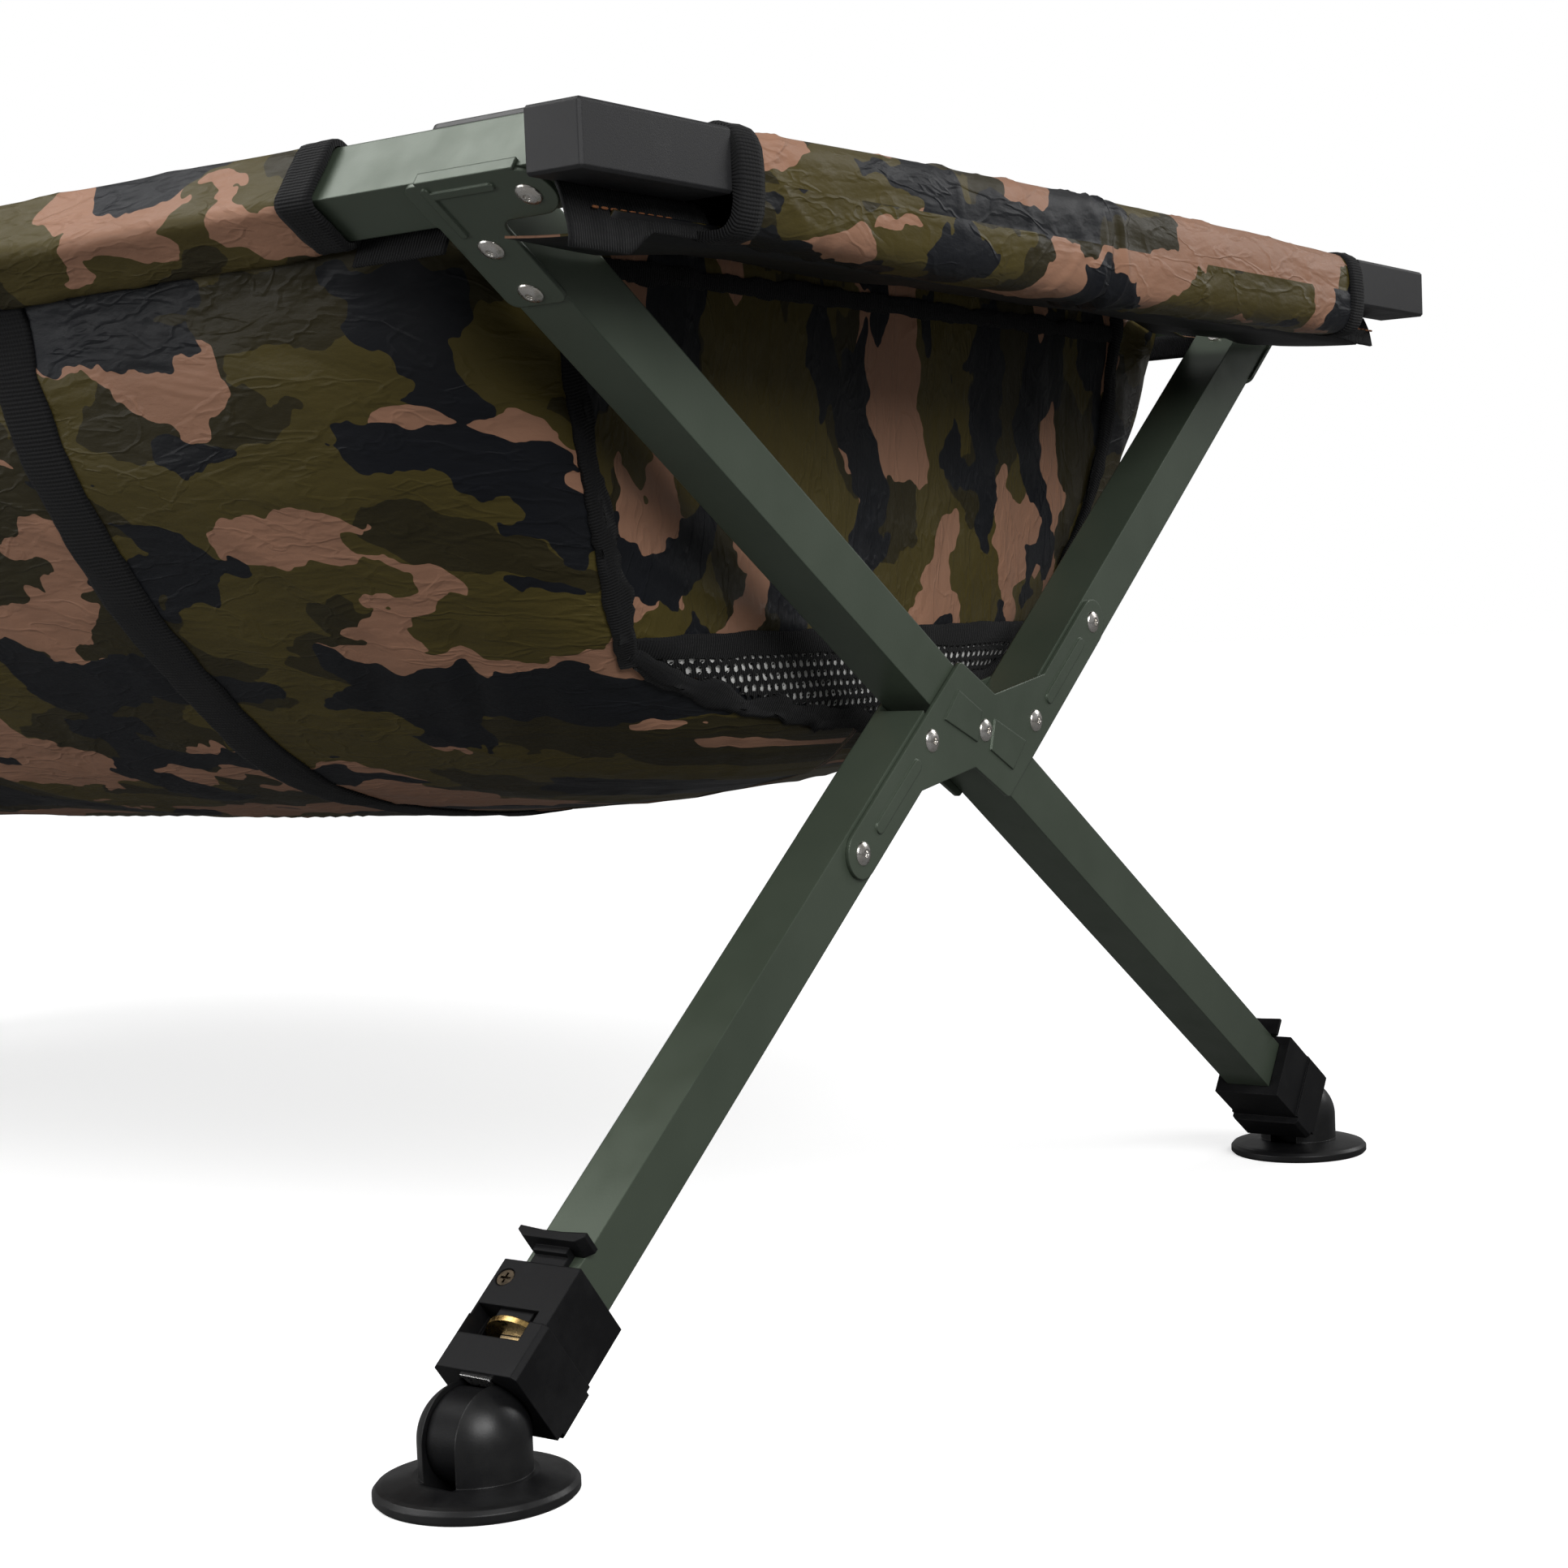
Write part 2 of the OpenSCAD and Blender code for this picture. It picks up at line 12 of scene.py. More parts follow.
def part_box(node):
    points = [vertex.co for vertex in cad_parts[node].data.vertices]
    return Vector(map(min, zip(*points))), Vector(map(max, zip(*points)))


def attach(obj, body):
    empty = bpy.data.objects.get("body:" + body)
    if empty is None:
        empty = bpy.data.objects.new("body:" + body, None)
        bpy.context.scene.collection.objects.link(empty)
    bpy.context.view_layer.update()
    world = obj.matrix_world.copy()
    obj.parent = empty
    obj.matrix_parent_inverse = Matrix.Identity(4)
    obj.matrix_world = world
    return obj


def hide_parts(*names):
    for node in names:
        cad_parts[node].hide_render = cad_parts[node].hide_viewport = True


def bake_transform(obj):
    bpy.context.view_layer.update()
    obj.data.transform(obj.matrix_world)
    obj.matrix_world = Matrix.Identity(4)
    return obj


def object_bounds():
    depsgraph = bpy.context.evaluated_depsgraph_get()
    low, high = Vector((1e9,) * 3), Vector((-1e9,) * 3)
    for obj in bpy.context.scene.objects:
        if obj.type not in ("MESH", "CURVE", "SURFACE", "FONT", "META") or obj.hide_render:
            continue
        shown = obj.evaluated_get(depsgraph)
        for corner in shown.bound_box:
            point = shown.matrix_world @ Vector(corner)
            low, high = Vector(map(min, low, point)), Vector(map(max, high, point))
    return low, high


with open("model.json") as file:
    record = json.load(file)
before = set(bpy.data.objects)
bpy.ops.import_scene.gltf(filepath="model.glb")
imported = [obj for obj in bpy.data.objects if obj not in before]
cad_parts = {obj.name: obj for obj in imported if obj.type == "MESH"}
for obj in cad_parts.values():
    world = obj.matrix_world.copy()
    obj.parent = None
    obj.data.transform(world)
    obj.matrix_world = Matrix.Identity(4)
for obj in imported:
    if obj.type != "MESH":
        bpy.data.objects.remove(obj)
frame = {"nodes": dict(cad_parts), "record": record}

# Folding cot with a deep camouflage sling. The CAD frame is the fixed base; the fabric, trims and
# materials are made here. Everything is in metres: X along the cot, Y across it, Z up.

CAD_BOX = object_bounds()
NODES = frame["nodes"]

# ---------------------------------------------------------------- sizes shared with the CAD part
COT_HALF = CAD_BOX[1].x
RAIL_Y, RAIL_Z = 0.2763, 0.4095
FOOT_Y, FOOT_Z = 0.2988, 0.018
ARM_OFFSET = 0.0226
LEG_RUN, LEG_RISE = RAIL_Y + FOOT_Y, RAIL_Z - FOOT_Z
LONG_ANGLE = math.atan2(LEG_RISE, LEG_RUN)
ARM_ANGLE = LONG_ANGLE + math.asin(2 * ARM_OFFSET / math.hypot(LEG_RUN, LEG_RISE))
RAIL_ANGLE = {"left": LONG_ANGLE, "right": ARM_ANGLE}
SIDE_SIGN = {"left": -1, "right": 1}
END_SIGN = {"front": 1, "rear": -1}
STRAP_X, STRAP_WIDTH = 0.295, 0.025
LEG_NEAR_X, LEG_FAR_X = 0.5145, 0.5415    # the room that the legs take, along the cot
LEG_BODY = {"left": "right_frame", "right": "left_frame"}    # the body that holds each side's feet

SLING_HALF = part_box("sling")[1].x
SLING_TOP = 0.3945
# Sling rings from the top down: height, half width, shortening of the half length, squareness
SLING_RINGS = [
    (SLING_TOP, 0.2715, 0.000, 18.0),
    (0.362, 0.267, 0.000, 14.0),
    (0.330, 0.254, 0.001, 10.0),
    (0.298, 0.232, 0.003, 7.5),
    (0.266, 0.206, 0.005, 6.0),
    (0.237, 0.171, 0.008, 4.8),
    (0.220, 0.147, 0.015, 4.0),
    (0.208, 0.125, 0.034, 3.4),
    (0.195, 0.078, 0.130, 2.6),
    (0.1905, 0.040, 0.230, 2.2),
    (0.1900, 0.000, 0.300, 2.2),
]
SEAM_SHARE = 0.72          # half width of the end wall, as a share of the ring's
END_LIFT = 0.010           # how far the end walls reach up past the sides
END_WALL_BOTTOM = 0.224    # height at which the drain's backing ends
DRAIN_TOP = 0.261          # height of the middle of the drain's upper binding
DRAIN_LOW, DRAIN_RISE, DRAIN_HALF = 0.2305, 0.027, 0.139    # the curve of the drain's lower edge
SIDE_COLUMNS, END_COLUMNS, SLING_ROWS = 110, 40, 44

CLOTH_THICKNESS = 0.0008
CLOTH_FRAMES = 34          # steps of the cloth simulation
CLOTH_SLACK = 0.005        # how much longer the cloth is than its modelled shape
CLOTH_LIMIT = 0.003        # the furthest that a point may move
PIN_ROWS, PIN_REST = {0: 1.0, 1: 0.35}, 0.012    # how firmly rows of the sling are held

RAIL_SLEEVE_REACH = 0.476  # half length of the cloth on a rail
BAR_X, BAR_Z = COT_HALF - 0.0100, 0.405    # middle line of the sleeves round the spreader bars
END_SLEEVE_REACH = 0.2336
FLAP_REACH = 0.2745

# Printed blobs over the olive ground: colour, cells per metre, place in the noise, cut level
CAMO_BLOBS = [
    ((0.026, 0.021, 0.008), (10, 21, 1), (3.1, 1.7, 0), 0.52),          # moss
    ((0.31, 0.165, 0.105), (10, 22, 1), (11.3, 5.2, 0), 0.538),         # tan
    ((0.0075, 0.0085, 0.0115), (12, 25, 1), (27.9, 14.4, 0), 0.55),     # navy
]


# ---------------------------------------------------------------- camera, lights and stage
def make_camera():
    forward = Vector((-0.5829, 0.8105, -0.0574))
    right = Vector((0.8118, 0.5839, 0.0))
    up = Vector((-0.0335, 0.0466, 0.9983))
    roll = 0.03978
    level = math.sqrt(1 - roll * roll)
    across = right * level - up * roll
    above = right * roll + up * level
    data = bpy.data.cameras.new("camera")
    data.lens, data.sensor_width = 62.46, 36
    data.clip_start, data.clip_end = 0.01, 100
    camera = bpy.data.objects.new("camera", data)
    camera.matrix_world = Matrix((
        (across.x, above.x, -forward.x, 1.0995),
        (across.y, above.y, -forward.y, -0.9148),
        (across.z, above.z, -forward.z, 0.2654),
        (0, 0, 0, 1),
    ))
    bpy.context.scene.collection.objects.link(camera)
    bpy.context.scene.camera = camera


def area_light(name, place, target, size, power):
    data = bpy.data.lights.new(name, "AREA")
    data.shape, data.size, data.size_y, data.energy = "RECTANGLE", size[0], size[1], power
    light = bpy.data.objects.new(name, data)
    light.location = place
    light.rotation_euler = (Vector(target) - Vector(place)).to_track_quat("-Z", "Y").to_euler()
    bpy.context.scene.collection.objects.link(light)


def make_lights():
    area_light("overhead_softbox", (-0.7, -0.9, 1.9), (0, 0, 0.3), (1.6, 1.2), 25)
    area_light("camera_side_fill", (2.2, -1.1, 1.3), (0.2, 0, 0.25), (1.3, 1.0), 42)
    area_light("low_left_strip", (-0.9, -1.9, 0.45), (-0.05, 0, 0.25), (1.6, 0.6), 17)
    area_light("right_rim", (1.5, 1.9, 1.4), (0.2, 0, 0.3), (1.0, 1.0), 12)


def make_stage():
    bpy.ops.mesh.primitive_plane_add(size=40)
    floor = bpy.context.object
    floor.name = "floor"
    paint = Paint("floor_paper")
    paper = paint.add("BsdfDiffuse", {"Color": (0.8, 0.8, 0.8)}).outputs[0]
    # The floor glows for the camera, less near the cot than far off: painted shade round the cot.
    # To every other ray it is a dull grey, so little light bounces up onto the cot.
    far = paint.add("VectorMath", {0: paint.position()}, operation="LENGTH").outputs["Value"]
    strength = paint.remap(far, 1.0, 2.6, 0.60, 0.78)
    glow = paint.add("Emission", {"Color": (1, 1, 1), "Strength": strength}).outputs[0]
    bright = paint.add("AddShader", {0: paper, 1: glow}).outputs[0]
    dull = paint.add("BsdfDiffuse", {"Color": (0.20, 0.20, 0.20)}).outputs[0]
    seen = paint.add("LightPath").outputs["Is Camera Ray"]
    both = paint.add("MixShader", {0: seen, 1: dull, 2: bright})
    paint.tree.links.new(both.outputs[0], paint.output.inputs[0])
    paint.put_on(floor)
    world = bpy.data.worlds.new("studio")
    world.use_nodes = True
    tree = world.node_tree
    background = tree.nodes["Background"]
    background.inputs["Color"].default_value = (1, 1, 1, 1)
    seen = tree.nodes.new("ShaderNodeLightPath").outputs["Is Camera Ray"]
    level = tree.nodes.new("ShaderNodeMapRange")
    level.inputs["To Min"].default_value, level.inputs["To Max"].default_value = 0.28, 1.0
    tree.links.new(seen, level.inputs["Value"])
    tree.links.new(level.outputs["Result"], background.inputs["Strength"])
    bpy.context.scene.world = world
    bpy.context.scene.view_settings.view_transform = "Standard"


# ---------------------------------------------------------------- material helper
class Paint:
    """A material and short ways to add nodes to it."""

    def __init__(self, name):
        self.material = bpy.data.materials.new(name)
        self.material.use_nodes = True
        self.tree = self.material.node_tree
        self.tree.nodes.clear()
        self.output = self.tree.nodes.new("ShaderNodeOutputMaterial")

    def add(self, kind, inputs=None, **settings):
        node = self.tree.nodes.new("ShaderNode" + kind)
        for key, value in settings.items():
            setattr(node, key, value)
        for key, value in (inputs or {}).items():
            self.feed(node, key, value)
        return node

    def feed(self, node, key, value):
        if isinstance(value, bpy.types.NodeSocket):
            self.tree.links.new(value, node.inputs[key])
        else:
            if isinstance(value, tuple) and len(value) == 3 and node.inputs[key].type == "RGBA":
                value = (*value, 1)
            node.inputs[key].default_value = value

    def math(self, operation, *values):
        return self.add("Math", dict(enumerate(values)), operation=operation).outputs[0]

    def vector(self, operation, *values):
        return self.add("VectorMath", dict(enumerate(values)), operation=operation).outputs[0]

    def weighted(self, *layers):
        """The sum of some values, each times its weight."""
        total = None
        for value, weight in layers:
            part = self.math("MULTIPLY", value, weight)
            total = part if total is None else self.math("ADD", total, part)
        return total

    def waves(self, where, distortion, direction="X"):
        node = self.add("TexWave", {"Vector": where, "Scale": 1.0, "Distortion": distortion},
                        wave_type="BANDS", bands_direction=direction)
        return node.outputs["Fac"]

    def noise(self, where, scale, detail=2.0, rough=0.5, distortion=0.0):
        node = self.add("TexNoise", {"Vector": where, "Scale": scale, "Detail": detail,
                                     "Roughness": rough, "Distortion": distortion})
        return node.outputs["Fac"]

    def remap(self, value, low, high, to_low, to_high):
        node = self.add("MapRange", {"Value": value, "From Min": low, "From Max": high,
                                     "To Min": to_low, "To Max": to_high})
        return node.outputs["Result"]

    def mix(self, share, first, second):
        node = self.add("Mix", data_type="RGBA")
        for socket, value in ((0, share), (6, first), (7, second)):
            self.feed(node, socket, value)
        return node.outputs[2]

    def position(self):
        return self.add("TexCoord").outputs["Object"]

    def metres(self):
        """The piece's own UV map, which is in metres of cloth."""
        return self.add("UVMap", uv_map="metres").outputs[0]

    def stretched(self, where, scale, offset=(0, 0, 0), turn=0.0):
        return self.add("Mapping", {"Vector": where, "Scale": scale, "Location": offset,
                                    "Rotation": (0, 0, turn)}).outputs[0]

    def bump(self, height, distance, strength=1.0, normal=None):
        node = self.add("Bump", {"Height": height, "Distance": distance, "Strength": strength})
        if normal is not None:
            self.feed(node, "Normal", normal)
        return node.outputs[0]

    def edges(self, radius):
        return self.add("Bevel", {"Radius": radius}, samples=6).outputs[0]

    def shader(self, color, roughness, metallic, specular, normal, sheen=0.0):
        inputs = {"Base Color": color, "Roughness": roughness, "Metallic": metallic,
                  "Specular IOR Level": specular, "Sheen Weight": sheen, "Normal": normal}
        node = self.add("BsdfPrincipled", inputs)
        self.tree.links.new(node.outputs[0], self.output.inputs[0])
        return self

    def put_on(self, *objects):
        for obj in objects:
            obj.data.materials.clear()
            obj.data.materials.append(self.material)


# ---------------------------------------------------------------- materials
def green_coat(name, base, dark):
    """Satin powder coat on steel: fine orange peel, slight tone drift, polished-looking edges."""
    paint = Paint(name)
    where = paint.position()
    drift = paint.noise(where, 14, detail=3)
    color = paint.mix(paint.remap(drift, 0.35, 0.65, 0, 1), base, dark)
    peel = paint.noise(where, 900, detail=2)
    roughness = paint.remap(paint.noise(where, 60, detail=3), 0.3, 0.7, 0.30, 0.42)
    normal = paint.bump(peel, 0.00004, 0.5, paint.edges(0.0008))
    return paint.shader(color, roughness, 0.35, 0.5, normal)


def moulded(name, base, dust, gloss, grain=1800, scuff=(35, 6, 0.7), spread=(0.45, 0.75),
            rough=(0.42, 0.6), relief=(0.00006, 0.6), edge=0.0007):
    """Moulded plastic or rubber with a fine spark-eroded grain and dusty scuffs."""
    paint = Paint(name)
    where = paint.position()
    sparks = paint.noise(where, grain, detail=2)
    scuffs = paint.noise(where, scuff[0], detail=scuff[1], rough=scuff[2])
    color = paint.mix(paint.remap(scuffs, *spread, 0, 1), base, dust)
    roughness = paint.remap(scuffs, 0.3, 0.7, *rough)
    normal = paint.bump(sparks, *relief, paint.edges(edge))
    return paint.shader(color, roughness, 0, gloss, normal)


def bright_metal(name, color, tint, roughness):
    """Turned or plated metal: fine scratches and a slight tarnish."""
    paint = Paint(name)
    where = paint.position()
    tarnish = paint.noise(where, 220, detail=4)
    scratches = paint.noise(paint.stretched(where, (900, 120, 900)), 1, detail=3)
    tone = paint.mix(paint.remap(tarnish, 0.4, 0.75, 0, 1), color, tint)
    rough = paint.remap(scratches, 0.3, 0.7, roughness * 0.7, roughness * 1.4)
    normal = paint.bump(scratches, 0.00002, 0.4, paint.edges(0.0004))
    return paint.shader(tone, rough, 1.0, 0.5, normal)


def creases(paint, cloth, scale, turn, thinness):
    """Thin crooked crease lines: 1 on a line, 0 away from it."""
    where = paint.stretched(cloth, scale, turn=turn)
    lines = paint.noise(where, 1, detail=3, rough=0.5, distortion=0.4)
    off = paint.math("ABSOLUTE", paint.math("SUBTRACT", lines, 0.5))
    return paint.remap(off, 0.0, thinness, 1, 0)


def camo_cloth():
    """Woodland camouflage on satin coated polyester; the print is laid out by the cloth's UVs."""
    paint = Paint("camo_polyester")
    cloth = paint.metres()
    wobble = paint.add("TexNoise", {"Vector": cloth, "Scale": 38.0, "Detail": 2.5,
                                    "Roughness": 0.55})
    shift = paint.vector("SUBTRACT", wobble.outputs["Color"], (0.5, 0.5, 0.5))
    shift = paint.vector("MULTIPLY", shift, (0.042, 0.028, 0))
    where = paint.stretched(paint.vector("ADD", cloth, shift), (1, 1, 1), turn=-0.10)
    color = (0.066, 0.051, 0.013)
    for tone, scale, offset, level in CAMO_BLOBS:
        cells = paint.noise(paint.stretched(where, scale, offset), 1, detail=2.2, rough=0.42)
        color = paint.mix(paint.math("GREATER_THAN", cells, level), color, tone)
    fade = paint.noise(cloth, 9, detail=4, rough=0.6)
    color = paint.mix(paint.remap(fade, 0.35, 0.7, 0.0, 0.2), color, (0.02, 0.018, 0.012))
    weave = paint.waves(paint.stretched(cloth, (1900, 1900, 1), turn=math.pi / 4), 0.6)
    crinkle = paint.noise(paint.stretched(cloth, (55, 120, 1), turn=0.6), 1, detail=5, rough=0.6)
    rolls = paint.noise(paint.stretched(cloth, (14, 46, 1), turn=-0.5), 1, detail=3, rough=0.5,
                        distortion=0.6)
    sharp = paint.math("ADD", creases(paint, cloth, (16, 44, 1), 0.75, 0.035),
                       creases(paint, cloth, (20, 52, 1), -0.6, 0.03))
    height = paint.weighted((crinkle, 0.3), (rolls, 1.2), (sharp, 0.12))
    normal = paint.bump(height, 0.0030, 0.65)
    normal = paint.bump(weave, 0.00005, 0.35, normal)
    roughness = paint.remap(crinkle, 0.3, 0.7, 0.36, 0.50)
    return paint.shader(color, roughness, 0, 0.15, normal)


def black_lining():
    paint = Paint("black_lining")
    where = paint.position()
    folds = paint.noise(where, 40, detail=4)
    normal = paint.bump(folds, 0.002, 0.4)
    # Darker where the fold noise sinks and lighter on its crests: painted shade in the hollows of
    # the folds.
    color = paint.mix(folds, (0.004, 0.004, 0.0045), (0.009, 0.009, 0.0095))
    return paint.shader(color, 0.6, 0, 0.25, normal)


def webbing(name, pitch, base, light):
    """Ribbed polypropylene tape: cross ribs, lengthwise cords and loose fibres."""
    paint = Paint(name)
    tape = paint.metres()
    ribs = paint.waves(paint.stretched(tape, (6.283 / pitch / 20, 0, 1)), 1.2)
    cords = paint.waves(paint.stretched(tape, (0, 6.283 / 0.0016 / 20, 1)), 0.5, "Y")
    fuzz = paint.noise(tape, 1500, detail=3)
    height = paint.weighted((ribs, paint.remap(cords, 0, 1, 0.75, 1)), (fuzz, 0.6))
    normal = paint.bump(height, 0.0005, 0.8)
    color = paint.mix(fuzz, base, light)
    return paint.shader(color, 0.8, 0, 0.15, normal, sheen=0.03)


def thread():
    paint = Paint("orange_thread")
    where = paint.position()
    twist = paint.noise(where, 2500, detail=2)
    color = paint.mix(twist, (0.17, 0.060, 0.022), (0.30, 0.115, 0.045))
    return paint.shader(color, 0.7, 0, 0.3, paint.bump(twist, 0.0001, 0.6))


def drain_liner():
    """Pale spacer cloth that shows through the drain mesh, with a knot in each cell."""
    paint = Paint("drain_spacer")
    pattern = {"Vector": paint.metres(), "Scale": 290.0, "Randomness": 0.25}
    knots = paint.add("TexVoronoi", pattern).outputs["Distance"]
    share = paint.math("GREATER_THAN", knots, 0.22)
    color = paint.mix(share, (0.03, 0.03, 0.03), (0.72, 0.72, 0.70))
    return paint.shader(color, 0.8, 0, 0.3, paint.bump(knots, 0.0003, 0.6))


# ---------------------------------------------------------------- mesh helpers
def mesh_object(name, points, faces, uvs=None):
    """uvs holds one pair per face corner, in metres."""
    mesh = bpy.data.meshes.new(name)
    mesh.from_pydata([tuple(p) for p in points], [], [tuple(f) for f in faces])
    if uvs is not None:
        layer = mesh.uv_layers.new(name="metres")
        layer.data.foreach_set("uv", np.asarray(uvs, np.float32).ravel())
    mesh.polygons.foreach_set("use_smooth", [True] * len(mesh.polygons))
    mesh.update()
    obj = bpy.data.objects.new(name, mesh)
    bpy.context.scene.collection.objects.link(obj)
    return obj


def grid_faces(rows, columns, closed):
    """Quads of a grid of points, row by row; closed joins the last column to the first."""
    faces = []
    for here in range(0, (rows - 1) * columns, columns):
        below = here + columns
        for c in range(columns if closed else columns - 1):
            d = (c + 1) % columns
            faces.append((here + c, below + c, below + d, here + d))
    return faces


def grid_uv(down, across):
    """UV pairs of a grid whose rows and columns lie at these lengths."""
    return np.stack(np.meshgrid(down, across, indexing="ij"), axis=2)


def running(steps, axis=0):
    """The running total of some steps, from zero."""
    return np.insert(np.cumsum(steps, axis=axis), 0, 0, axis=axis)


def path_lengths(points):
    """The length along a path to each of its points."""
    return running(np.linalg.norm(np.diff(points, axis=0), axis=1))


def sample(points, arc, at):
    """The places on a path at some lengths along it."""
    return np.stack([np.interp(at, arc, column) for column in points.T], axis=1)


def wave(*where):
    """Smooth noise from -1 to 1 at a place."""
    return noise.noise(Vector(where))


def grid_object(name, points, uv, closed=False):
    """points and uv are arrays of rows x columns; a closed grid's uv has one more column."""
    rows, columns = points.shape[:2]
    marks = uv.reshape(-1, 2)[np.array(grid_faces(rows, uv.shape[1], False))]
    return mesh_object(name, points.reshape(-1, 3), grid_faces(rows, columns, closed), marks)


def refine_axis(points, axis, closed):
    """Doubles a grid's resolution along one axis with a smooth four-point rule."""
    p = np.moveaxis(points, axis, 0)
    if closed:
        padded = np.concatenate([p[-1:], p, p[:2]])
    else:
        padded = np.concatenate([2 * p[:1] - p[1:2], p, 2 * p[-1:] - p[-2:-1]])
    middle = (9 * (padded[1:-2] + padded[2:-1]) - padded[:-3] - padded[3:]) / 16
    out = np.empty((len(p) + len(middle), *p.shape[1:]))
    out[0::2], out[1::2] = p, middle
    return np.moveaxis(out, 0, axis)


def refine(points, closed):
    return refine_axis(refine_axis(points, 0, False), 1, closed)


def grid_normals(points, closed):
    """Outward normals of a grid, by differences of its neighbours."""
    if closed:
        along = np.roll(points, -1, 1) - np.roll(points, 1, 1)
    else:
        along = np.gradient(points, axis=1)
    down = np.gradient(points, axis=0)
    normals = np.cross(down, along)
    return normals / np.maximum(np.linalg.norm(normals, axis=2, keepdims=True), 1e-12)


def noise_field(points, scale, seed):
    """Smooth noise from -1 to 1 at each point of a grid, scale cycles per metre on each axis."""
    flat = points.reshape(-1, points.shape[-1]) * np.asarray(scale)
    place = Vector((seed, seed * 0.7, seed * 1.3))
    values = [noise.noise(Vector((*p, seed)[:3]) + place) for p in flat]
    return np.array(values).reshape(points.shape[:-1])


def thicken(obj, thickness, inside):
    """Gives a sheet its thickness, with the inside material on its inner face."""
    obj.data.materials.append(inside)
    shell = obj.modifiers.new("thickness", "SOLIDIFY")
    shell.thickness, shell.offset = thickness, -1
    shell.material_offset, shell.material_offset_rim = 1, 0
    apply_modifiers(obj)


def line_cloth(obj):
    """Puts the print on the outer face of a sheet and the black lining on its inner face."""
    CAMO.put_on(obj)
    thicken(obj, CLOTH_THICKNESS, LINING.material)


def line_tube(obj, middle):
    """Lines a tube of cloth whose normals may point to the line along its middle."""
    sizes = [(face.center - middle(face.center)).dot(face.normal) for face in obj.data.polygons]
    if sum(sizes) < 0:
        obj.data.flip_normals()
    line_cloth(obj)


def apply_modifiers(obj):
    depsgraph = bpy.context.evaluated_depsgraph_get()
    mesh = bpy.data.meshes.new_from_object(obj.evaluated_get(depsgraph))
    obj.modifiers.clear()
    obj.data = mesh


def settle_cloth(points, faces, pins):
    """Hangs a cloth mesh from its pinned points and returns where its points come to rest."""
    obj = mesh_object("cloth_at_work", points, faces)
    group = obj.vertex_groups.new(name="pin")
    for weight in sorted(set(pins)):
        members = [i for i, w in enumerate(pins) if w == weight]
        group.add(members, weight, "REPLACE")
    cloth = obj.modifiers.new("cloth", "CLOTH")
    rules = cloth.settings
    rules.quality, rules.mass = 6, 0.12
    rules.tension_stiffness, rules.compression_stiffness = 8.0, 3.2
    rules.shear_stiffness, rules.bending_stiffness = 3.2, 0.08
    rules.vertex_group_mass, rules.pin_stiffness = "pin", 1.0
    rules.shrink_min = -CLOTH_SLACK
    cloth.collision_settings.use_self_collision = False
    cloth.collision_settings.use_collision = False
    scene = bpy.context.scene
    cloth.point_cache.frame_start, cloth.point_cache.frame_end = 1, CLOTH_FRAMES
    for step in range(1, CLOTH_FRAMES + 1):
        scene.frame_set(step)
    final = obj.evaluated_get(bpy.context.evaluated_depsgraph_get()).data
    moved = np.zeros(len(points) * 3)
    final.vertices.foreach_get("co", moved)
    scene.frame_set(1)
    bpy.data.objects.remove(obj)
    shift = moved.reshape(-1, 3) - points
    far = np.linalg.norm(shift, axis=1, keepdims=True)
    return points + shift * np.minimum(1, CLOTH_LIMIT / np.maximum(far, 1e-9))


# ---------------------------------------------------------------- sling
def ring_quarter(half_length, half_width, power):
    """A quarter of a rounded oblong, from end to side, and the length along it."""
    turn = np.linspace(0, math.pi / 2, 1500)
    x = np.cos(turn) ** (2 / power) * half_length
    y = np.sin(turn) ** (2 / power) * half_width
    x[-1] = 0
    return x, y, running(np.hypot(np.diff(x), np.diff(y)))


def sling_ring(height, half_width, shortening, power, seam):
    """One closed row of the sling's grid: left side, front end, right side, rear end."""
    x, y, arc = ring_quarter(SLING_HALF - shortening, half_width, power)
    quarter = arc[-1]
    first = seam * quarter
    side = first + 2 * (quarter - first) * np.arange(SIDE_COLUMNS) / SIDE_COLUMNS
    end = -first + 2 * first * np.arange(END_COLUMNS) / END_COLUMNS
    folded = np.minimum(side, 2 * quarter - side)
    side_x = np.where(side <= quarter, 1, -1) * np.interp(folded, arc, x)
    side_y = np.interp(folded, arc, y)
    end_x = np.interp(np.abs(end), arc, x)
    end_y = np.copysign(np.interp(np.abs(end), arc, y), end)
    ring_x = np.concatenate([-side_x, end_x, side_x, -end_x])
    ring_y = np.concatenate([-side_y, end_y, side_y, -end_y])
    return np.stack([ring_x, ring_y, np.full(len(ring_x), height)], axis=1)


def ring_table():
    """The rings, evenly spaced down the cloth and rounded where they meet."""
    table = np.array(SLING_RINGS)
    arc = running(np.hypot(np.diff(table[:, 0]), np.diff(table[:, 1])))
    even = np.linspace(0, arc[-1], SLING_ROWS + 1)
    rows = sample(table, arc, even)
    for _ in range(4):
        rows[1:-1] = (rows[:-2] + 2 * rows[1:-1] + rows[2:]) / 4
    return rows, even


def sling_grid():
    rows, arc = ring_table()
    grid, seam = [], 0.5
    for height, half_width, shortening, power in rows:
        if half_width > 0.03:
            x, y, lengths = ring_quarter(SLING_HALF - shortening, half_width, power)
            seam = np.interp(SEAM_SHARE * half_width, y, lengths) / lengths[-1]
        grid.append(sling_ring(height, half_width, shortening, power, seam))
    return lift_ends(np.array(grid)), arc


def lift_ends(grid):
    """Lifts the tops of the end walls and the corners past the sides, behind the end sleeves."""
    lifted_from, rail_side, start_z = 0.455, 0.262, 0.35
    near_end = np.clip((np.abs(grid[..., 0]) - lifted_from) / 0.03, 0, 1)
    clear_of_rail = np.clip((rail_side - np.abs(grid[..., 1])) / 0.012, 0, 1)
    near_top = np.clip((grid[..., 2] - start_z) / (SLING_TOP - start_z), 0, 1) ** 2
    grid[..., 2] += END_LIFT * near_end * clear_of_rail * near_top
    return grid


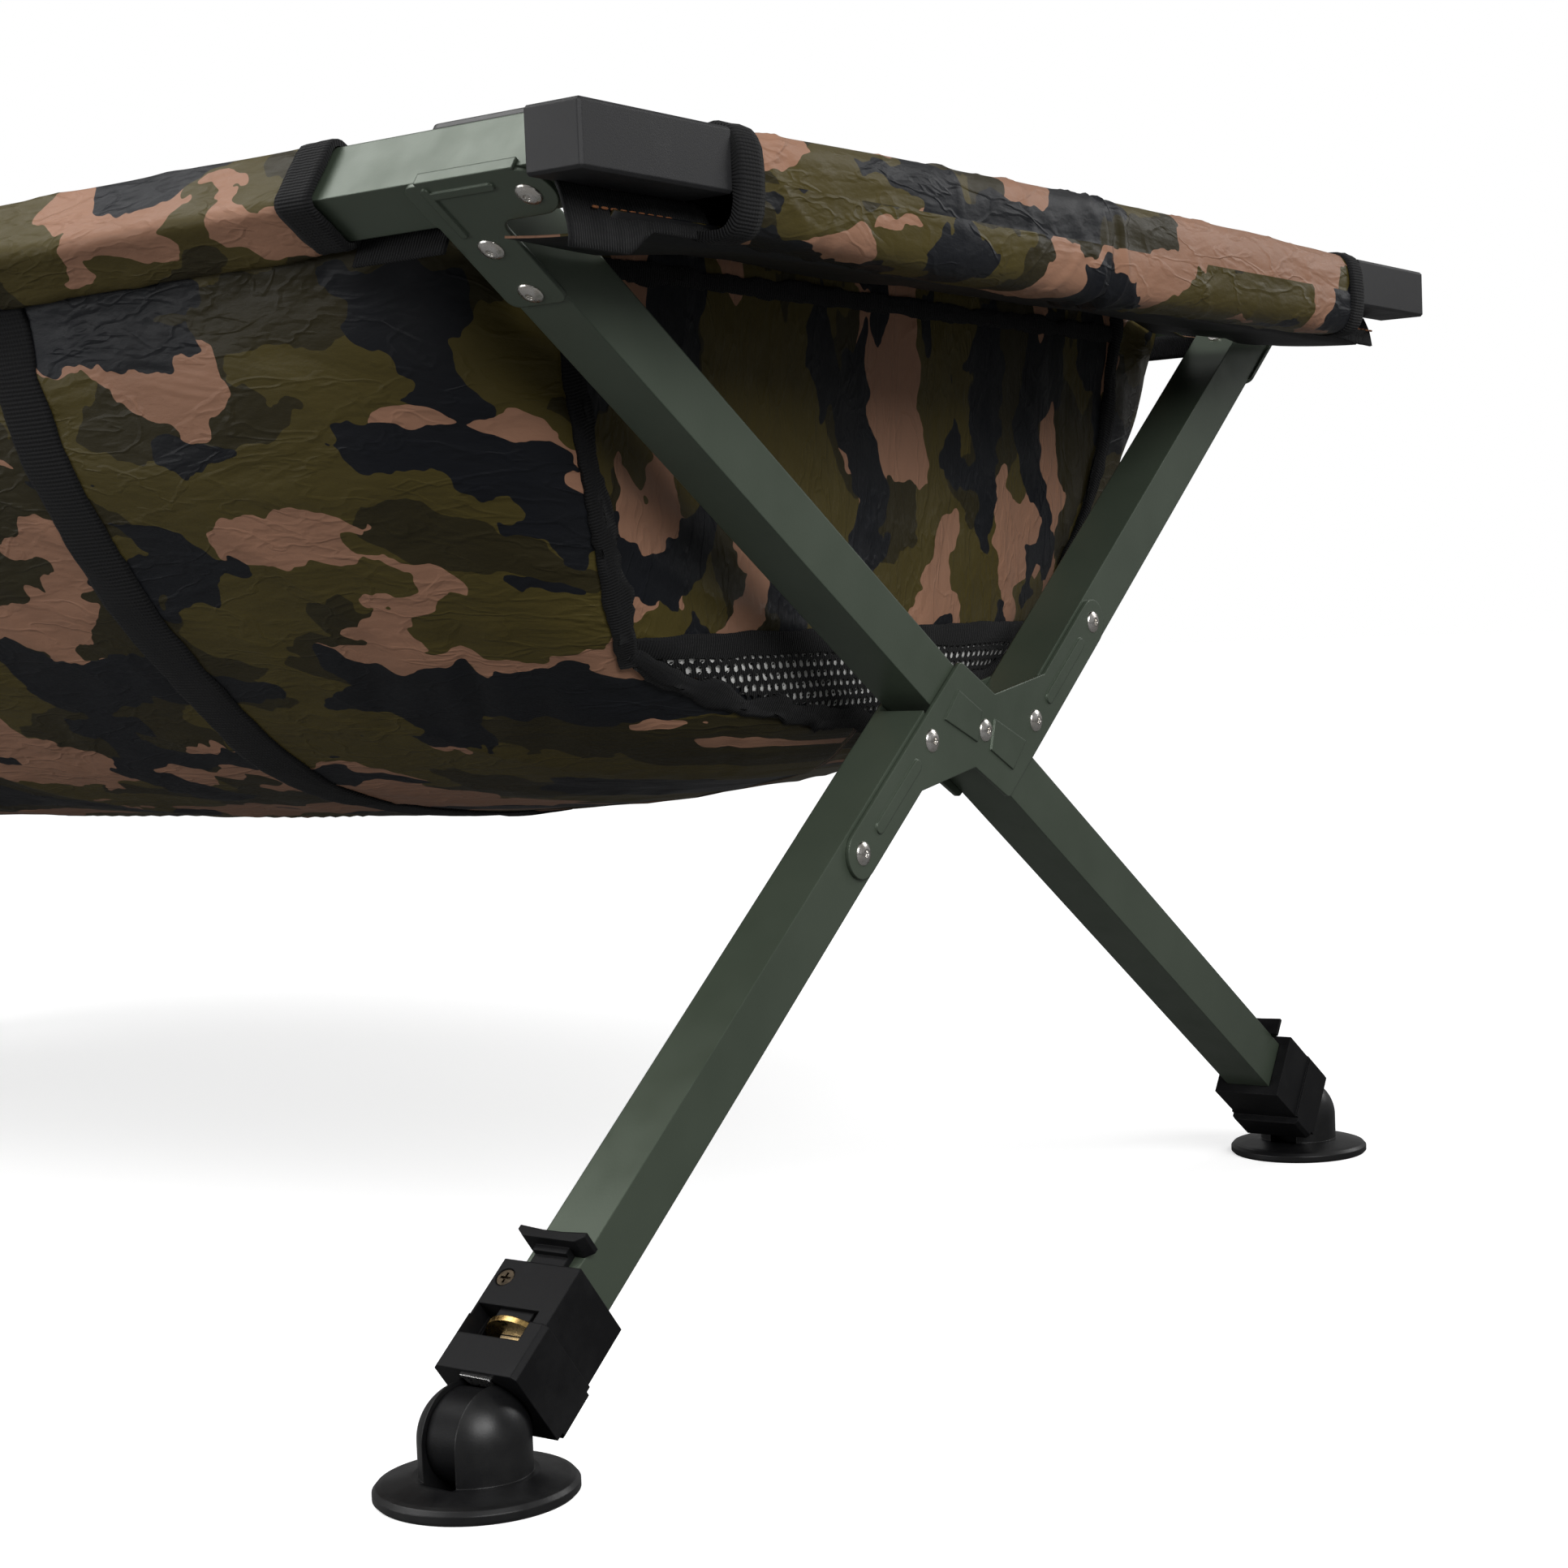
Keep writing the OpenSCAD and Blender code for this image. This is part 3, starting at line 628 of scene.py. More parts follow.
def drain_floor(y):
    """Height of the drain mesh's lower edge, which hangs in a curve."""
    return DRAIN_LOW + DRAIN_RISE * min(1, abs(y) / DRAIN_HALF) ** 1.8


def pair_of(column):
    """The column that mirrors this one in the cot's long middle plane."""
    total = 2 * (SIDE_COLUMNS + END_COLUMNS)
    return (2 * SIDE_COLUMNS + END_COLUMNS - column) % total


def simulate_sling(grid):
    """Settles the sling cloth. The last row lies along the middle, so its columns join in pairs."""
    rows, columns = grid.shape[:2]
    points = grid.reshape(-1, 3)
    last = (rows - 1) * columns
    join = {last + c: last + min(c, pair_of(c)) for c in range(columns)}
    faces = []
    for face in grid_faces(rows, columns, True):
        joined = list(dict.fromkeys(join.get(i, i) for i in face))
        if len(joined) > 2:
            faces.append(joined)
    used = sorted(set(i for f in faces for i in f))
    index = {old: new for new, old in enumerate(used)}
    pins = [PIN_ROWS.get(old // columns, PIN_REST) for old in used]
    out = points.copy()
    out[used] = settle_cloth(points[used], [[index[i] for i in f] for f in faces], pins)
    for twin, kept in join.items():
        out[twin] = out[kept]
    return out.reshape(grid.shape)


def trough_uv(grid, arc):
    """Metres of cloth on the side and bottom panel: along the cot, and down from the rail."""
    rows, columns = grid.shape[:2]
    loop = np.concatenate([grid, grid[:, :1]], axis=1)
    around = running(np.linalg.norm(np.diff(loop[..., :2], axis=1), axis=2), axis=1)
    left_middle = SIDE_COLUMNS // 2
    right_middle = SIDE_COLUMNS + END_COLUMNS + SIDE_COLUMNS // 2
    front_middle = SIDE_COLUMNS + END_COLUMNS // 2
    rear_middle = columns - END_COLUMNS // 2
    down = arc[-1] - arc
    uv = np.zeros((rows, columns + 1, 2))
    for c in range(columns + 1):
        spot = loop[:, c]
        left = c < front_middle or c > rear_middle
        along = around[:, c] - around[:, left_middle]
        if c > rear_middle:
            along -= around[:, columns]
        if not left:
            along = around[:, right_middle] - around[:, c]
        rim = np.clip((spot[:, 2] - 0.215) / 0.03, 0, 1)
        uv[:, c, 0] = spot[:, 0] + rim * (along - spot[:, 0])
        uv[:, c, 1] = -down if left else down
    return uv


def end_uv(grid, arc):
    """Metres of cloth on an end wall, cut with the print upright."""
    across = running(np.linalg.norm(np.diff(grid, axis=1), axis=2), axis=1)
    across = across - across[:, grid.shape[1] // 2][:, None]
    return np.stack([np.broadcast_to(arc[:, None], across.shape), across], axis=2)


def crumple(points, normals, uv, height, seed):
    """Small diagonal wrinkles that a sagging cloth keeps."""
    u, v = uv[..., 0], uv[..., 1]
    lines = np.stack([u * 0.8 + v * 0.6, v * 0.8 - u * 0.6], axis=-1)
    soft = noise_field(lines, (9, 26), seed)
    fine = noise_field(lines, (22, 60), seed + 5)
    ridge = np.maximum(0, 1 - np.abs(noise_field(lines, (7, 22), seed + 9)) * 5) ** 2
    lift = height * (0.6 * soft + 0.35 * fine + 0.7 * ridge)
    return points + normals * lift[..., None]


class Skin:
    """A surface that trims are laid on."""

    def __init__(self, points, closed):
        rows, columns = points.shape[:2]
        faces = grid_faces(rows, columns, closed)
        self.tree = BVHTree.FromPolygons([Vector(p) for p in points.reshape(-1, 3)], faces)

    def touch(self, point, outward):
        spot, normal, _, _ = self.tree.find_nearest(Vector(point))
        if normal.dot(Vector(outward)) < 0:
            normal = -normal
        return np.array(spot), np.array(normal)


def evenly(points, spacing):
    """The same path with its points evenly spaced, and the length to each."""
    points = np.asarray(points, float)
    arc = path_lengths(points)
    even = np.linspace(0, arc[-1], max(2, round(arc[-1] / spacing) + 1))
    return sample(points, arc, even), even


def closed_evenly(outline, count):
    """A closed outline's points, evenly spaced, without the repeated last one."""
    outline = np.array(outline)
    arc = path_lengths(outline)
    return sample(outline, arc, np.linspace(0, arc[-1], count + 1)[:-1])


def lay_tape(name, skin, path, outward, width, height, paint, fray=0.06, ripple=0.0, seed=1.0):
    """A tape sewn onto a skin along a path: crowned, with slightly frayed edges that ripple."""
    path, arc = evenly(path, 0.003)
    tangents = np.gradient(path, axis=0)
    tangents /= np.linalg.norm(tangents, axis=1, keepdims=True)
    spread = (-1.0, -0.85, -0.4, 0.0, 0.4, 0.85, 1.0)
    points, uv = [], []
    for i, centre in enumerate(path):
        face = outward(centre) if callable(outward) else outward
        _, normal = skin.touch(centre, face)
        across = np.cross(normal, tangents[i])
        across /= np.linalg.norm(across)
        loop, marks = [], []
        for side in (1, 0):
            for k in (spread if side else reversed(spread)):
                wander = wave(arc[i] * 55, k * 3, seed)
                reach = k * width / 2 * (1 + fray * wave(arc[i] * 240, k, seed + 3))
                spot, lie = skin.touch(centre + across * (reach + ripple * wander), face)
                crown = height * (1 - 0.55 * k ** 4) if side else -0.0004
                curl = ripple * 0.6 * abs(k) * max(0, wander) if side else 0
                loop.append(spot + lie * (crown + curl))
                marks.append((arc[i], k * width / 2))
        points.append(loop)
        uv.append([*marks, marks[0]])
    tape = grid_object(name, np.array(points), np.array(uv), closed=True)
    close_ends(tape, len(path), 2 * len(spread))
    paint.put_on(tape)
    return tape


def close_ends(obj, rows, columns):
    """Closes a tube grid's two open ends with one face each."""
    old = obj.data
    faces = [tuple(p.vertices) for p in old.polygons]
    uv = [tuple(d.uv) for d in old.uv_layers["metres"].data]
    faces.append(tuple(reversed(range(columns))))
    faces.append(tuple(range((rows - 1) * columns, rows * columns)))
    uv += [uv[0]] * columns + [uv[-1]] * columns
    new = bpy.data.meshes.new(obj.name)
    new.from_pydata([tuple(v.co) for v in old.vertices], [], faces)
    new.uv_layers.new(name="metres").data.foreach_set("uv", np.array(uv, np.float32).ravel())
    new.polygons.foreach_set("use_smooth", [True] * len(faces))
    obj.data = new


make_camera()
make_lights()
make_stage()

CAMO = camo_cloth()
LINING = black_lining()
BINDING = webbing("black_binding", 0.0012, (0.004, 0.004, 0.0045), (0.011, 0.011, 0.0115))
STRAP = webbing("black_strap", 0.0016, (0.003, 0.003, 0.0035), (0.008, 0.008, 0.0085))
CAP_PLASTIC = moulded("cap_plastic", (0.012, 0.012, 0.013), (0.021, 0.021, 0.022), 0.3)
THREAD = thread()
DARK_SCREW = bright_metal("blackened_screw", (0.055, 0.042, 0.028), (0.02, 0.015, 0.01), 0.35)

MATERIALS = {
    "green_tube": green_coat("green_tube_coat", (0.074, 0.094, 0.068), (0.062, 0.080, 0.057)),
    "green_plate": green_coat("green_plate_coat", (0.076, 0.096, 0.070), (0.064, 0.082, 0.059)),
    "black_plate": green_coat("black_plate_coat", (0.008, 0.008, 0.008), (0.005, 0.005, 0.005)),
    "black_plastic": moulded("housing_plastic", (0.005, 0.005, 0.0055), (0.012, 0.012, 0.0125),
                             0.12),
    "foot_rubber": moulded("foot_rubber", (0.004, 0.004, 0.0045), (0.010, 0.010, 0.010), 0.35,
                           1400, (50, 5, 0.65), (0.4, 0.8), (0.30, 0.46), (0.00004, 0.5), 0.0006),
    "nickel": bright_metal("nickel_plate", (0.72, 0.70, 0.67), (0.50, 0.46, 0.40), 0.22),
    "brass": bright_metal("worn_brass", (0.62, 0.42, 0.16), (0.40, 0.26, 0.09), 0.28),
    "steel": bright_metal("bare_steel", (0.55, 0.55, 0.55), (0.38, 0.37, 0.36), 0.30),
    "bar_metal": bright_metal("bar_steel", (0.50, 0.50, 0.50), (0.35, 0.35, 0.34), 0.35),
}


def dress_frame():
    """Puts a material on each CAD node, by the slot that the record gives it."""
    for part in frame["record"]["subparts"]:
        if part["material_slot"] in MATERIALS:
            MATERIALS[part["material_slot"]].put_on(NODES[part["node"]])
    for side in SIDE_SIGN:
        CAP_PLASTIC.put_on(NODES[side + "_corner_caps"])
        DARK_SCREW.put_on(NODES[side + "_frame_screws"])


dress_frame()


def across_cot(piece):
    """Fabric that crosses the cot, with its placement baked into its points."""
    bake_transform(piece)


def ride_frame(side, *pieces):
    """Black trims that move with one side's frame."""
    for piece in pieces:
        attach(piece, side + "_frame")


def make_sling():
    """The sling's cloth, settled, with its UVs and the length down it."""
    grid, arc = sling_grid()
    uv = refine_uv(trough_uv(grid, arc))
    grid = simulate_sling(grid)
    grid = refine(grid, True)
    arc = np.linspace(0, arc[-1], len(grid))
    fade = np.clip(arc / 0.03, 0, 1)[:, None, None]
    return crumple(grid, grid_normals(grid, True) * fade, uv[:, :-1], 0.0016, 3.0), uv, arc


def refine_uv(uv):
    """Doubles a UV grid's resolution along both axes, in straight lines."""
    for axis in (0, 1):
        p = np.moveaxis(uv, axis, 0)
        out = np.empty((2 * len(p) - 1, *p.shape[1:]))
        out[0::2], out[1::2] = p, (p[1:] + p[:-1]) / 2
        uv = np.moveaxis(out, 0, axis)
    return uv


def row_at(grid, column, height):
    """The row whose point in this column is nearest to a height."""
    return int(np.argmin(np.abs(grid[: len(grid) * 3 // 4, column, 2] - height)))


def make_trough(grid, uv, front, rear):
    """The side and bottom panel: every face of the grid but the end walls and their drains."""
    rows, columns = grid.shape[:2]
    quads = grid_faces(rows, columns, True)
    corners = grid_faces(rows, columns + 1, False)
    points, marks = grid.reshape(-1, 3), uv.reshape(-1, 2)
    faces, kept = [], []
    for quad, corner in zip(quads, corners):
        column = quad[0] % columns
        middle = (points[quad[0]] + points[quad[2]]) / 2
        on_end = front[0] <= column < front[1] or rear[0] <= column < rear[1]
        if not on_end or middle[2] <= drain_floor(middle[1]):
            faces.append(quad)
            kept.append(corner)
    trough = mesh_object("sling_trough", points, faces, marks[np.array(kept)])
    weld(trough)
    line_cloth(trough)
    across_cot(trough)
    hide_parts("sling")


def weld(obj):
    """Joins points that lie on each other and drops loose ones."""
    work = bmesh.new()
    work.from_mesh(obj.data)
    bmesh.ops.remove_doubles(work, verts=work.verts, dist=0.00002)
    bmesh.ops.delete(work, geom=[v for v in work.verts if not v.link_faces], context="VERTS")
    work.to_mesh(obj.data)
    work.free()


def make_end_wall(end, block, arc, drain_row, seam_row, skin):
    """One end wall: printed cloth, a drain mesh along its foot, and its bindings."""
    sign = END_SIGN[end]
    facing = (sign, 0, 0)
    uv = end_uv(block, arc[: len(block)])
    uv[:, :, 1] += 0.9 if end == "front" else 2.1
    wall = grid_object(end + "_end_wall", block[: drain_row + 1], uv[: drain_row + 1])
    line_cloth(wall)
    corner_row = row_at(block, 0, DRAIN_LOW + DRAIN_RISE - 0.006)
    reach = DRAIN_HALF + 0.002
    curve = [skin.touch((block[drain_row, 0, 0], y, drain_floor(y)), facing)[0]
             for y in np.linspace(-reach, reach, 70)]
    first, last = ("left", "right") if sign > 0 else ("right", "left")
    seam = (0.0095, 0.0022, 0.3, 0.0035)
    # Name, path, width, height, fray, ripple, seed
    bindings = [
        (first + "_seam", block[:corner_row, 0], *seam, 2.0 + SIDE_SIGN[first]),
        (last + "_seam", block[:corner_row, -1], *seam, 2.0 + SIDE_SIGN[last]),
        ("wall_top", block[2], 0.007, 0.0016, 0.3, 0.002, 5.0),
        ("drain_upper", block[drain_row], 0.0095, 0.0014, 0.06, 0.001, 7.0),
        ("drain_lower", curve, 0.0085, 0.0024, 0.35, 0.004, 9.0),
    ]
    trims = [lay_tape(f"{end}_{name}_binding", skin, path, facing, width, height, BINDING,
                      fray, ripple, seed + sign)
             for name, path, width, height, fray, ripple, seed in bindings]
    strip = block[drain_row: seam_row + 1]
    normals = grid_normals(strip, False)
    if normals[0, len(strip[0]) // 2, 0] * sign < 0:
        normals = -normals
    liner = grid_object(end + "_drain_spacer", strip - normals * 0.0003,
                        uv[drain_row: seam_row + 1])
    drain_liner().put_on(liner)
    trims += [liner, make_drain_mesh(end, strip, normals)]
    for piece in (wall, *trims):
        across_cot(piece)


def make_drain_mesh(end, strip, normals):
    """A net with hexagonal holes, laid over the strip of the end wall that it fills."""
    pitch, hole = 0.0048, 0.00172
    row_step = pitch * math.sqrt(3) / 2
    rows, columns = strip.shape[:2]
    width = np.linalg.norm(np.diff(strip[0], axis=0), axis=1).sum()
    drop = np.linalg.norm(np.diff(strip[:, columns // 2], axis=0), axis=1).sum()
    points, faces, marks = [], [], []

    def place(a, b):
        s = np.clip(a / width, 0, 1) * (columns - 1)
        t = np.clip(b / drop, 0, 1) * (rows - 1)
        c, r = min(int(s), columns - 2), min(int(t), rows - 2)
        u, v = s - c, t - r
        spot = ((strip[r, c] * (1 - u) + strip[r, c + 1] * u) * (1 - v)
                + (strip[r + 1, c] * (1 - u) + strip[r + 1, c + 1] * u) * v)
        return spot + normals[r, c] * 0.0005

    for j in range(int(drop / row_step) + 1):
        for i in range(int(width / pitch) + 1):
            centre = ((i + 0.5 * (j % 2)) * pitch, j * row_step)
            spot = place(*centre)
            if centre[0] > width or spot[2] < drain_floor(spot[1]) - 0.002:
                continue
            base = len(points)
            for radius in (pitch / math.sqrt(3), hole):
                for k in range(6):
                    turn = math.radians(30 + 60 * k)
                    a = centre[0] + radius * math.cos(turn)
                    b = centre[1] + radius * math.sin(turn)
                    points.append(place(a, b))
                    marks.append((a, b))
            for k in range(6):
                n = (k + 1) % 6
                faces.append((base + k, base + n, base + 6 + n, base + 6 + k))
    net = mesh_object(end + "_drain_mesh", points, faces, [marks[i] for f in faces for i in f])
    weld(net)
    net.data.polygons.foreach_set("use_smooth", [False] * len(net.data.polygons))
    BINDING.put_on(net)
    thicken(net, 0.0004, BINDING.material)
    return net


def strap_facing(point):
    """Outwards and down from a place on a strap."""
    return (0, point[1], min(-0.02, (point[2] - 0.42) * 0.6))


def make_straps(skin):
    """Webbing under the sling from rail to rail."""
    half = [(y, z) for z, y, _, _ in SLING_RINGS]
    run = [(-y, z) for y, z in half] + half[-2::-1]
    for end, sign in END_SIGN.items():
        path, _ = evenly([(sign * STRAP_X, y, z) for y, z in run], 0.004)
        spots = [skin.touch(point, strap_facing(point))[0] for point in path]
        strap = lay_tape(end + "_strap", skin, [(sign * STRAP_X, y, z) for _, y, z in spots],
                         strap_facing, STRAP_WIDTH, 0.0016, STRAP,
                         fray=0.05, ripple=0.0016, seed=20.0 + sign)
        across_cot(strap)
        if sign > 0:
            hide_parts("webbing_straps")


# ---------------------------------------------------------------- sleeves
def rail_section(side):
    """The closed outline of a sleeve round a tilted rail, in Y and Z about its centre."""
    corner = 0.004
    half_y, half_z = 0.0124, 0.0134
    outline = []
    for turn, (sy, sz) in enumerate(((1, 1), (-1, 1), (-1, -1), (1, -1))):
        for k in range(9):
            angle = math.radians(90 * turn + 90 * k / 8)
            outline.append((sy * (half_y - corner) + corner * math.cos(angle),
                            sz * (half_z - corner) + corner * math.sin(angle)))
    outline.append(outline[0])
    even = closed_evenly(outline, 56)
    angle = -RAIL_ANGLE[side]
    y = even[:, 0] * math.cos(angle) - even[:, 1] * math.sin(angle)
    z = even[:, 0] * math.sin(angle) + even[:, 1] * math.cos(angle)
    return np.stack([y * -SIDE_SIGN[side], z], axis=1)


def tube_uv(points):
    """Metres along and around a tube of rows x columns points."""
    loop = np.concatenate([points, points[:, :1]], axis=1)
    around = running(np.linalg.norm(np.diff(loop, axis=1), axis=2).mean(axis=0))
    return grid_uv(path_lengths(points.mean(axis=1)), around)


def make_rail_sleeve(side):
    """Cloth pulled tight over a rail, with a bound hem at each end."""
    sign = SIDE_SIGN[side]
    xs = np.linspace(-RAIL_SLEEVE_REACH, RAIL_SLEEVE_REACH, 239)
    to_mouth = RAIL_SLEEVE_REACH - np.abs(xs)
    section = rail_section(side)
    points = np.zeros((len(xs), len(section), 3))
    points[:, :, 0] = xs[:, None]
    points[:, :, 1] = sign * RAIL_Y + section[None, :, 0]
    points[:, :, 2] = RAIL_Z + section[None, :, 1]
    underside = np.clip(-section[:, 1] / 0.014, 0, 1) ** 2
    slack = 0.0022 + 0.0016 * np.array([wave(x * 9, sign, 4) for x in xs])
    slack *= np.clip(to_mouth / 0.03, 0, 1)
    points[:, :, 2] -= slack[:, None] * underside[None, :]
    uv = tube_uv(points)
    normals = sleeve_normals(points)
    away = np.clip(to_mouth / 0.02, 0, 1)[:, None]
    rolls = noise_field(uv[:, :-1], (7, 70), 6.0 + sign)
    slanted = uv[:, :-1] @ np.array([[0.9, 0.4], [-0.4, 0.9]])
    drags = np.maximum(0, 1 - np.abs(noise_field(slanted, (12, 40), 8.0 + sign)) * 4) ** 2
    points += normals * (away * (0.0005 * rolls + 0.0008 * drags))[..., None]
    uv[:, :, 1] += 0.55 if sign < 0 else 1.4
    sleeve = grid_object(side + "_rail_cloth", points, uv, closed=True)
    CAMO.put_on(sleeve)
    line_tube(sleeve, lambda p: Vector((p.x, sign * RAIL_Y, RAIL_Z)))
    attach(sleeve, side + "_frame")
    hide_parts(side + "_rail_sleeve")
    inner, outer = RAIL_SLEEVE_REACH - 0.0145, RAIL_SLEEVE_REACH + 0.0004
    for end, end_sign in END_SIGN.items():
        ride_frame(side, rail_hem(f"{end}_{side}_rail_hem", section, (sign * RAIL_Y, RAIL_Z),
                                  end_sign * inner, end_sign * outer, 5.0 + end_sign + sign))


def sleeve_normals(points):
    """Outward normals of a tube, away from its own middle line."""
    normals = grid_normals(points, True)
    middle = points.mean(axis=1, keepdims=True)
    if ((points - middle) * normals).sum() < 0:
        normals = -normals
    return normals


def hem_band(name, points):
    """A closed band of binding tape through rows of points."""
    band = grid_object(name, points, tube_uv(points)[:, :, ::-1], closed=True)
    BINDING.put_on(band)
    return band


def bound_strip(name, points, along, width, thickness):
    """An open strip of binding tape through rows of points."""
    strip = grid_object(name, points, grid_uv(along, np.linspace(0, width, points.shape[1])))
    BINDING.put_on(strip)
    thicken(strip, thickness, BINDING.material)
    return strip


def rail_hem(name, section, centre, x0, x1, seed):
    """A folded tape round the mouth of a rail's sleeve."""
    lift = 0.0011
    profile = [(x0, 0.0002), (x0, lift * 0.9)]
    profile += [(x0 + (x1 - x0) * k / 6, lift * (1 + 0.12 * (k % 2))) for k in range(1, 6)]
    profile += [(x1, lift * 0.9), (x1, -0.0012)]
    outward = section / np.linalg.norm(section, axis=1, keepdims=True)
    points = np.zeros((len(profile), len(section), 3))
    for i, (x, rise) in enumerate(profile):
        for j, (spot, out) in enumerate(zip(section, outward)):
            move = out * (rise + 0.00025 * wave(x * 400, j * 0.9, seed))
            points[i, j] = (x, centre[0] + spot[0] + move[0], centre[1] + spot[1] + move[1])
    return hem_band(name, points)


def end_section(y):
    """The closed outline of the loose sleeve round the spreader bars, in X and Z."""
    belly = 1 - min(1, abs(y) / END_SLEEVE_REACH) ** 2
    half_x = 0.0113 + 0.0017 * belly
    top, bottom = 0.4208 + 0.0024 * belly, 0.3868 - 0.0032 * belly
    middle, half_z = (top + bottom) / 2, (top - bottom) / 2
    power = 2 / 3.2
    outline = []
    for k in range(241):
        c, s = math.cos(2 * math.pi * k / 240), math.sin(2 * math.pi * k / 240)
        outline.append((math.copysign(abs(c) ** power, c) * half_x,
                        math.copysign(abs(s) ** power, s) * half_z))
    even = closed_evenly(outline, 52)
    even[:, 1] += middle
    return even


def sleeve_creases(seed):
    """Where the loose sleeve folds: place along it, slant, width, height and side round it."""
    rng = random.Random(seed)
    # Number of folds, then the ranges of place (either way), slant (either way), width, height
    groups = [(9, 0.012, 0.35, (0.0012, 0.0022), (0.0012, 0.0026)),
              (34, 0.215, 1.3, (0.0012, 0.003), (0.0004, 0.0012))]
    return [(rng.uniform(-place, place), rng.uniform(-slant, slant), rng.uniform(*width),
             rng.uniform(*height), rng.uniform(0, 1))
            for count, place, slant, width, height in groups for _ in range(count)]


def make_end_sleeve(end):
    """The loose cloth round one end's spreader bars, in a left and a right half."""
    sign = END_SIGN[end]
    ys = np.linspace(-END_SLEEVE_REACH, END_SLEEVE_REACH, 253)
    sections = np.array([end_section(y) for y in ys])
    points = np.zeros((*sections.shape[:2], 3))
    points[:, :, 0] = sign * (BAR_X + sections[:, :, 0])
    points[:, :, 1] = ys[:, None]
    points[:, :, 2] = sections[:, :, 1]
    uv = tube_uv(points)
    normals = sleeve_normals(points)
    round_it = uv[0, :-1, 1] / uv[0, -1, 1]
    lift = np.zeros(points.shape[:2])
    for place, slant, width, height, side in sleeve_creases(11 + sign):
        away = (round_it - side + 0.5) % 1 - 0.5
        centre = place + slant * away * 0.1
        ridge = np.exp(-np.abs(ys[:, None] - centre[None, :]) / width)
        lift += height * ridge * np.exp(-(away[None, :] / 0.22) ** 2)
    lift += 0.0004 * noise_field(uv[:, :-1], (30, 24), 4.0 + sign)
    lift += 0.0009 * noise_field(uv[:, :-1], (9, 12), 14.0 + sign)
    lift -= 0.0016 * np.exp(-(ys[:, None] / 0.006) ** 2)
    lift *= np.clip((END_SLEEVE_REACH - np.abs(ys)) / 0.012, 0, 1)[:, None]
    points += normals * lift[..., None]
    uv[:, :, 1] += 2.6 if sign > 0 else 3.3
    half = len(ys) // 2
    halves = {"left": slice(0, half + 1), "right": slice(half, len(ys))}
    for side, rows in halves.items():
        piece = grid_object(f"{end}_{side}_end_cloth", points[rows], uv[rows], closed=True)
        CAMO.put_on(piece)
        line_tube(piece, lambda p: Vector((sign * BAR_X, p.y, BAR_Z)))
        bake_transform(piece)
        if end == "front" and side == "left":
            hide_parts("end_sleeves")
        ride_frame(side, end_hem(end, side, points[0 if side == "left" else -1]))


def end_hem(end, side, mouth):
    """The thick bound edge at the mouth of a loose sleeve."""
    side_sign = SIDE_SIGN[side]
    out = mouth - mouth.mean(axis=0)
    out /= np.linalg.norm(out, axis=1, keepdims=True)
    profile = [(-0.0128, 0.0002), (-0.0128, 0.0011), (-0.009, 0.0015), (-0.005, 0.0015),
               (-0.001, 0.0014), (0.0006, 0.0009), (0.0006, -0.002)]
    points = np.zeros((len(profile), len(mouth), 3))
    for i, (step, rise) in enumerate(profile):
        for j, spot in enumerate(mouth):
            fuzz = 0.0004 * wave(step * 500, j * 0.8, side_sign + END_SIGN[end] * 3)
            points[i, j] = spot + out[j] * (rise + fuzz)
            points[i, j, 1] += side_sign * step
    return hem_band(f"{end}_{side}_end_hem", points)


def flap_reach(x):
    """How far the flap goes to each side, x from the cot's middle: it is cut out round the legs."""
    if x < LEG_NEAR_X:
        return 0.262
    return 0.222 if x < LEG_FAR_X else FLAP_REACH


def make_flap(end):
    """The strip of cloth from the end sleeve in to the top of the end wall."""
    sign = END_SIGN[end]
    xs = np.concatenate([np.linspace(SLING_HALF + 0.0006, LEG_NEAR_X, 6),
                         np.linspace(LEG_NEAR_X, LEG_FAR_X, 9)[1:],
                         np.linspace(LEG_FAR_X, COT_HALF - 0.0155, 10)[1:]])
    ys = np.linspace(-FLAP_REACH, FLAP_REACH, 139)
    inner_z, drop, sag, corner_drop, edge_lift = 0.4035, 0.0175, 0.003, 0.007, 0.006
    share = ((xs - xs[0]) / (xs[-1] - xs[0]))[:, None]
    waves = np.array([wave(y * 16, 3, sign) for y in ys])[None, :]
    corner = np.clip((np.abs(ys)[None, :] - 0.20) / 0.03, 0, 1)
    points = np.zeros((len(xs), len(ys), 3))
    points[:, :, 0] = sign * xs[:, None]
    points[:, :, 1] = ys[None, :]
    points[:, :, 2] = inner_z - drop * share - sag * np.sin(math.pi * share) * (1 + 0.7 * waves)
    points[:, :, 2] -= corner_drop * corner * (1 - share)
    points[-1, :, 2] += edge_lift
    columns = len(ys)
    faces, marks = [], []
    for quad in grid_faces(len(xs), columns, False):
        r, c = divmod(quad[0], columns)
        if max(abs(ys[c]), abs(ys[c + 1])) <= flap_reach((xs[r] + xs[r + 1]) / 2) + 0.0001:
            faces.append(quad if sign > 0 else quad[::-1])
            marks += [(ys[i % columns], xs[i // columns] + 4.2) for i in faces[-1]]
    flap = mesh_object(end + "_flap", points.reshape(-1, 3), faces, marks)
    weld(flap)
    line_cloth(flap)
    across_cot(flap)


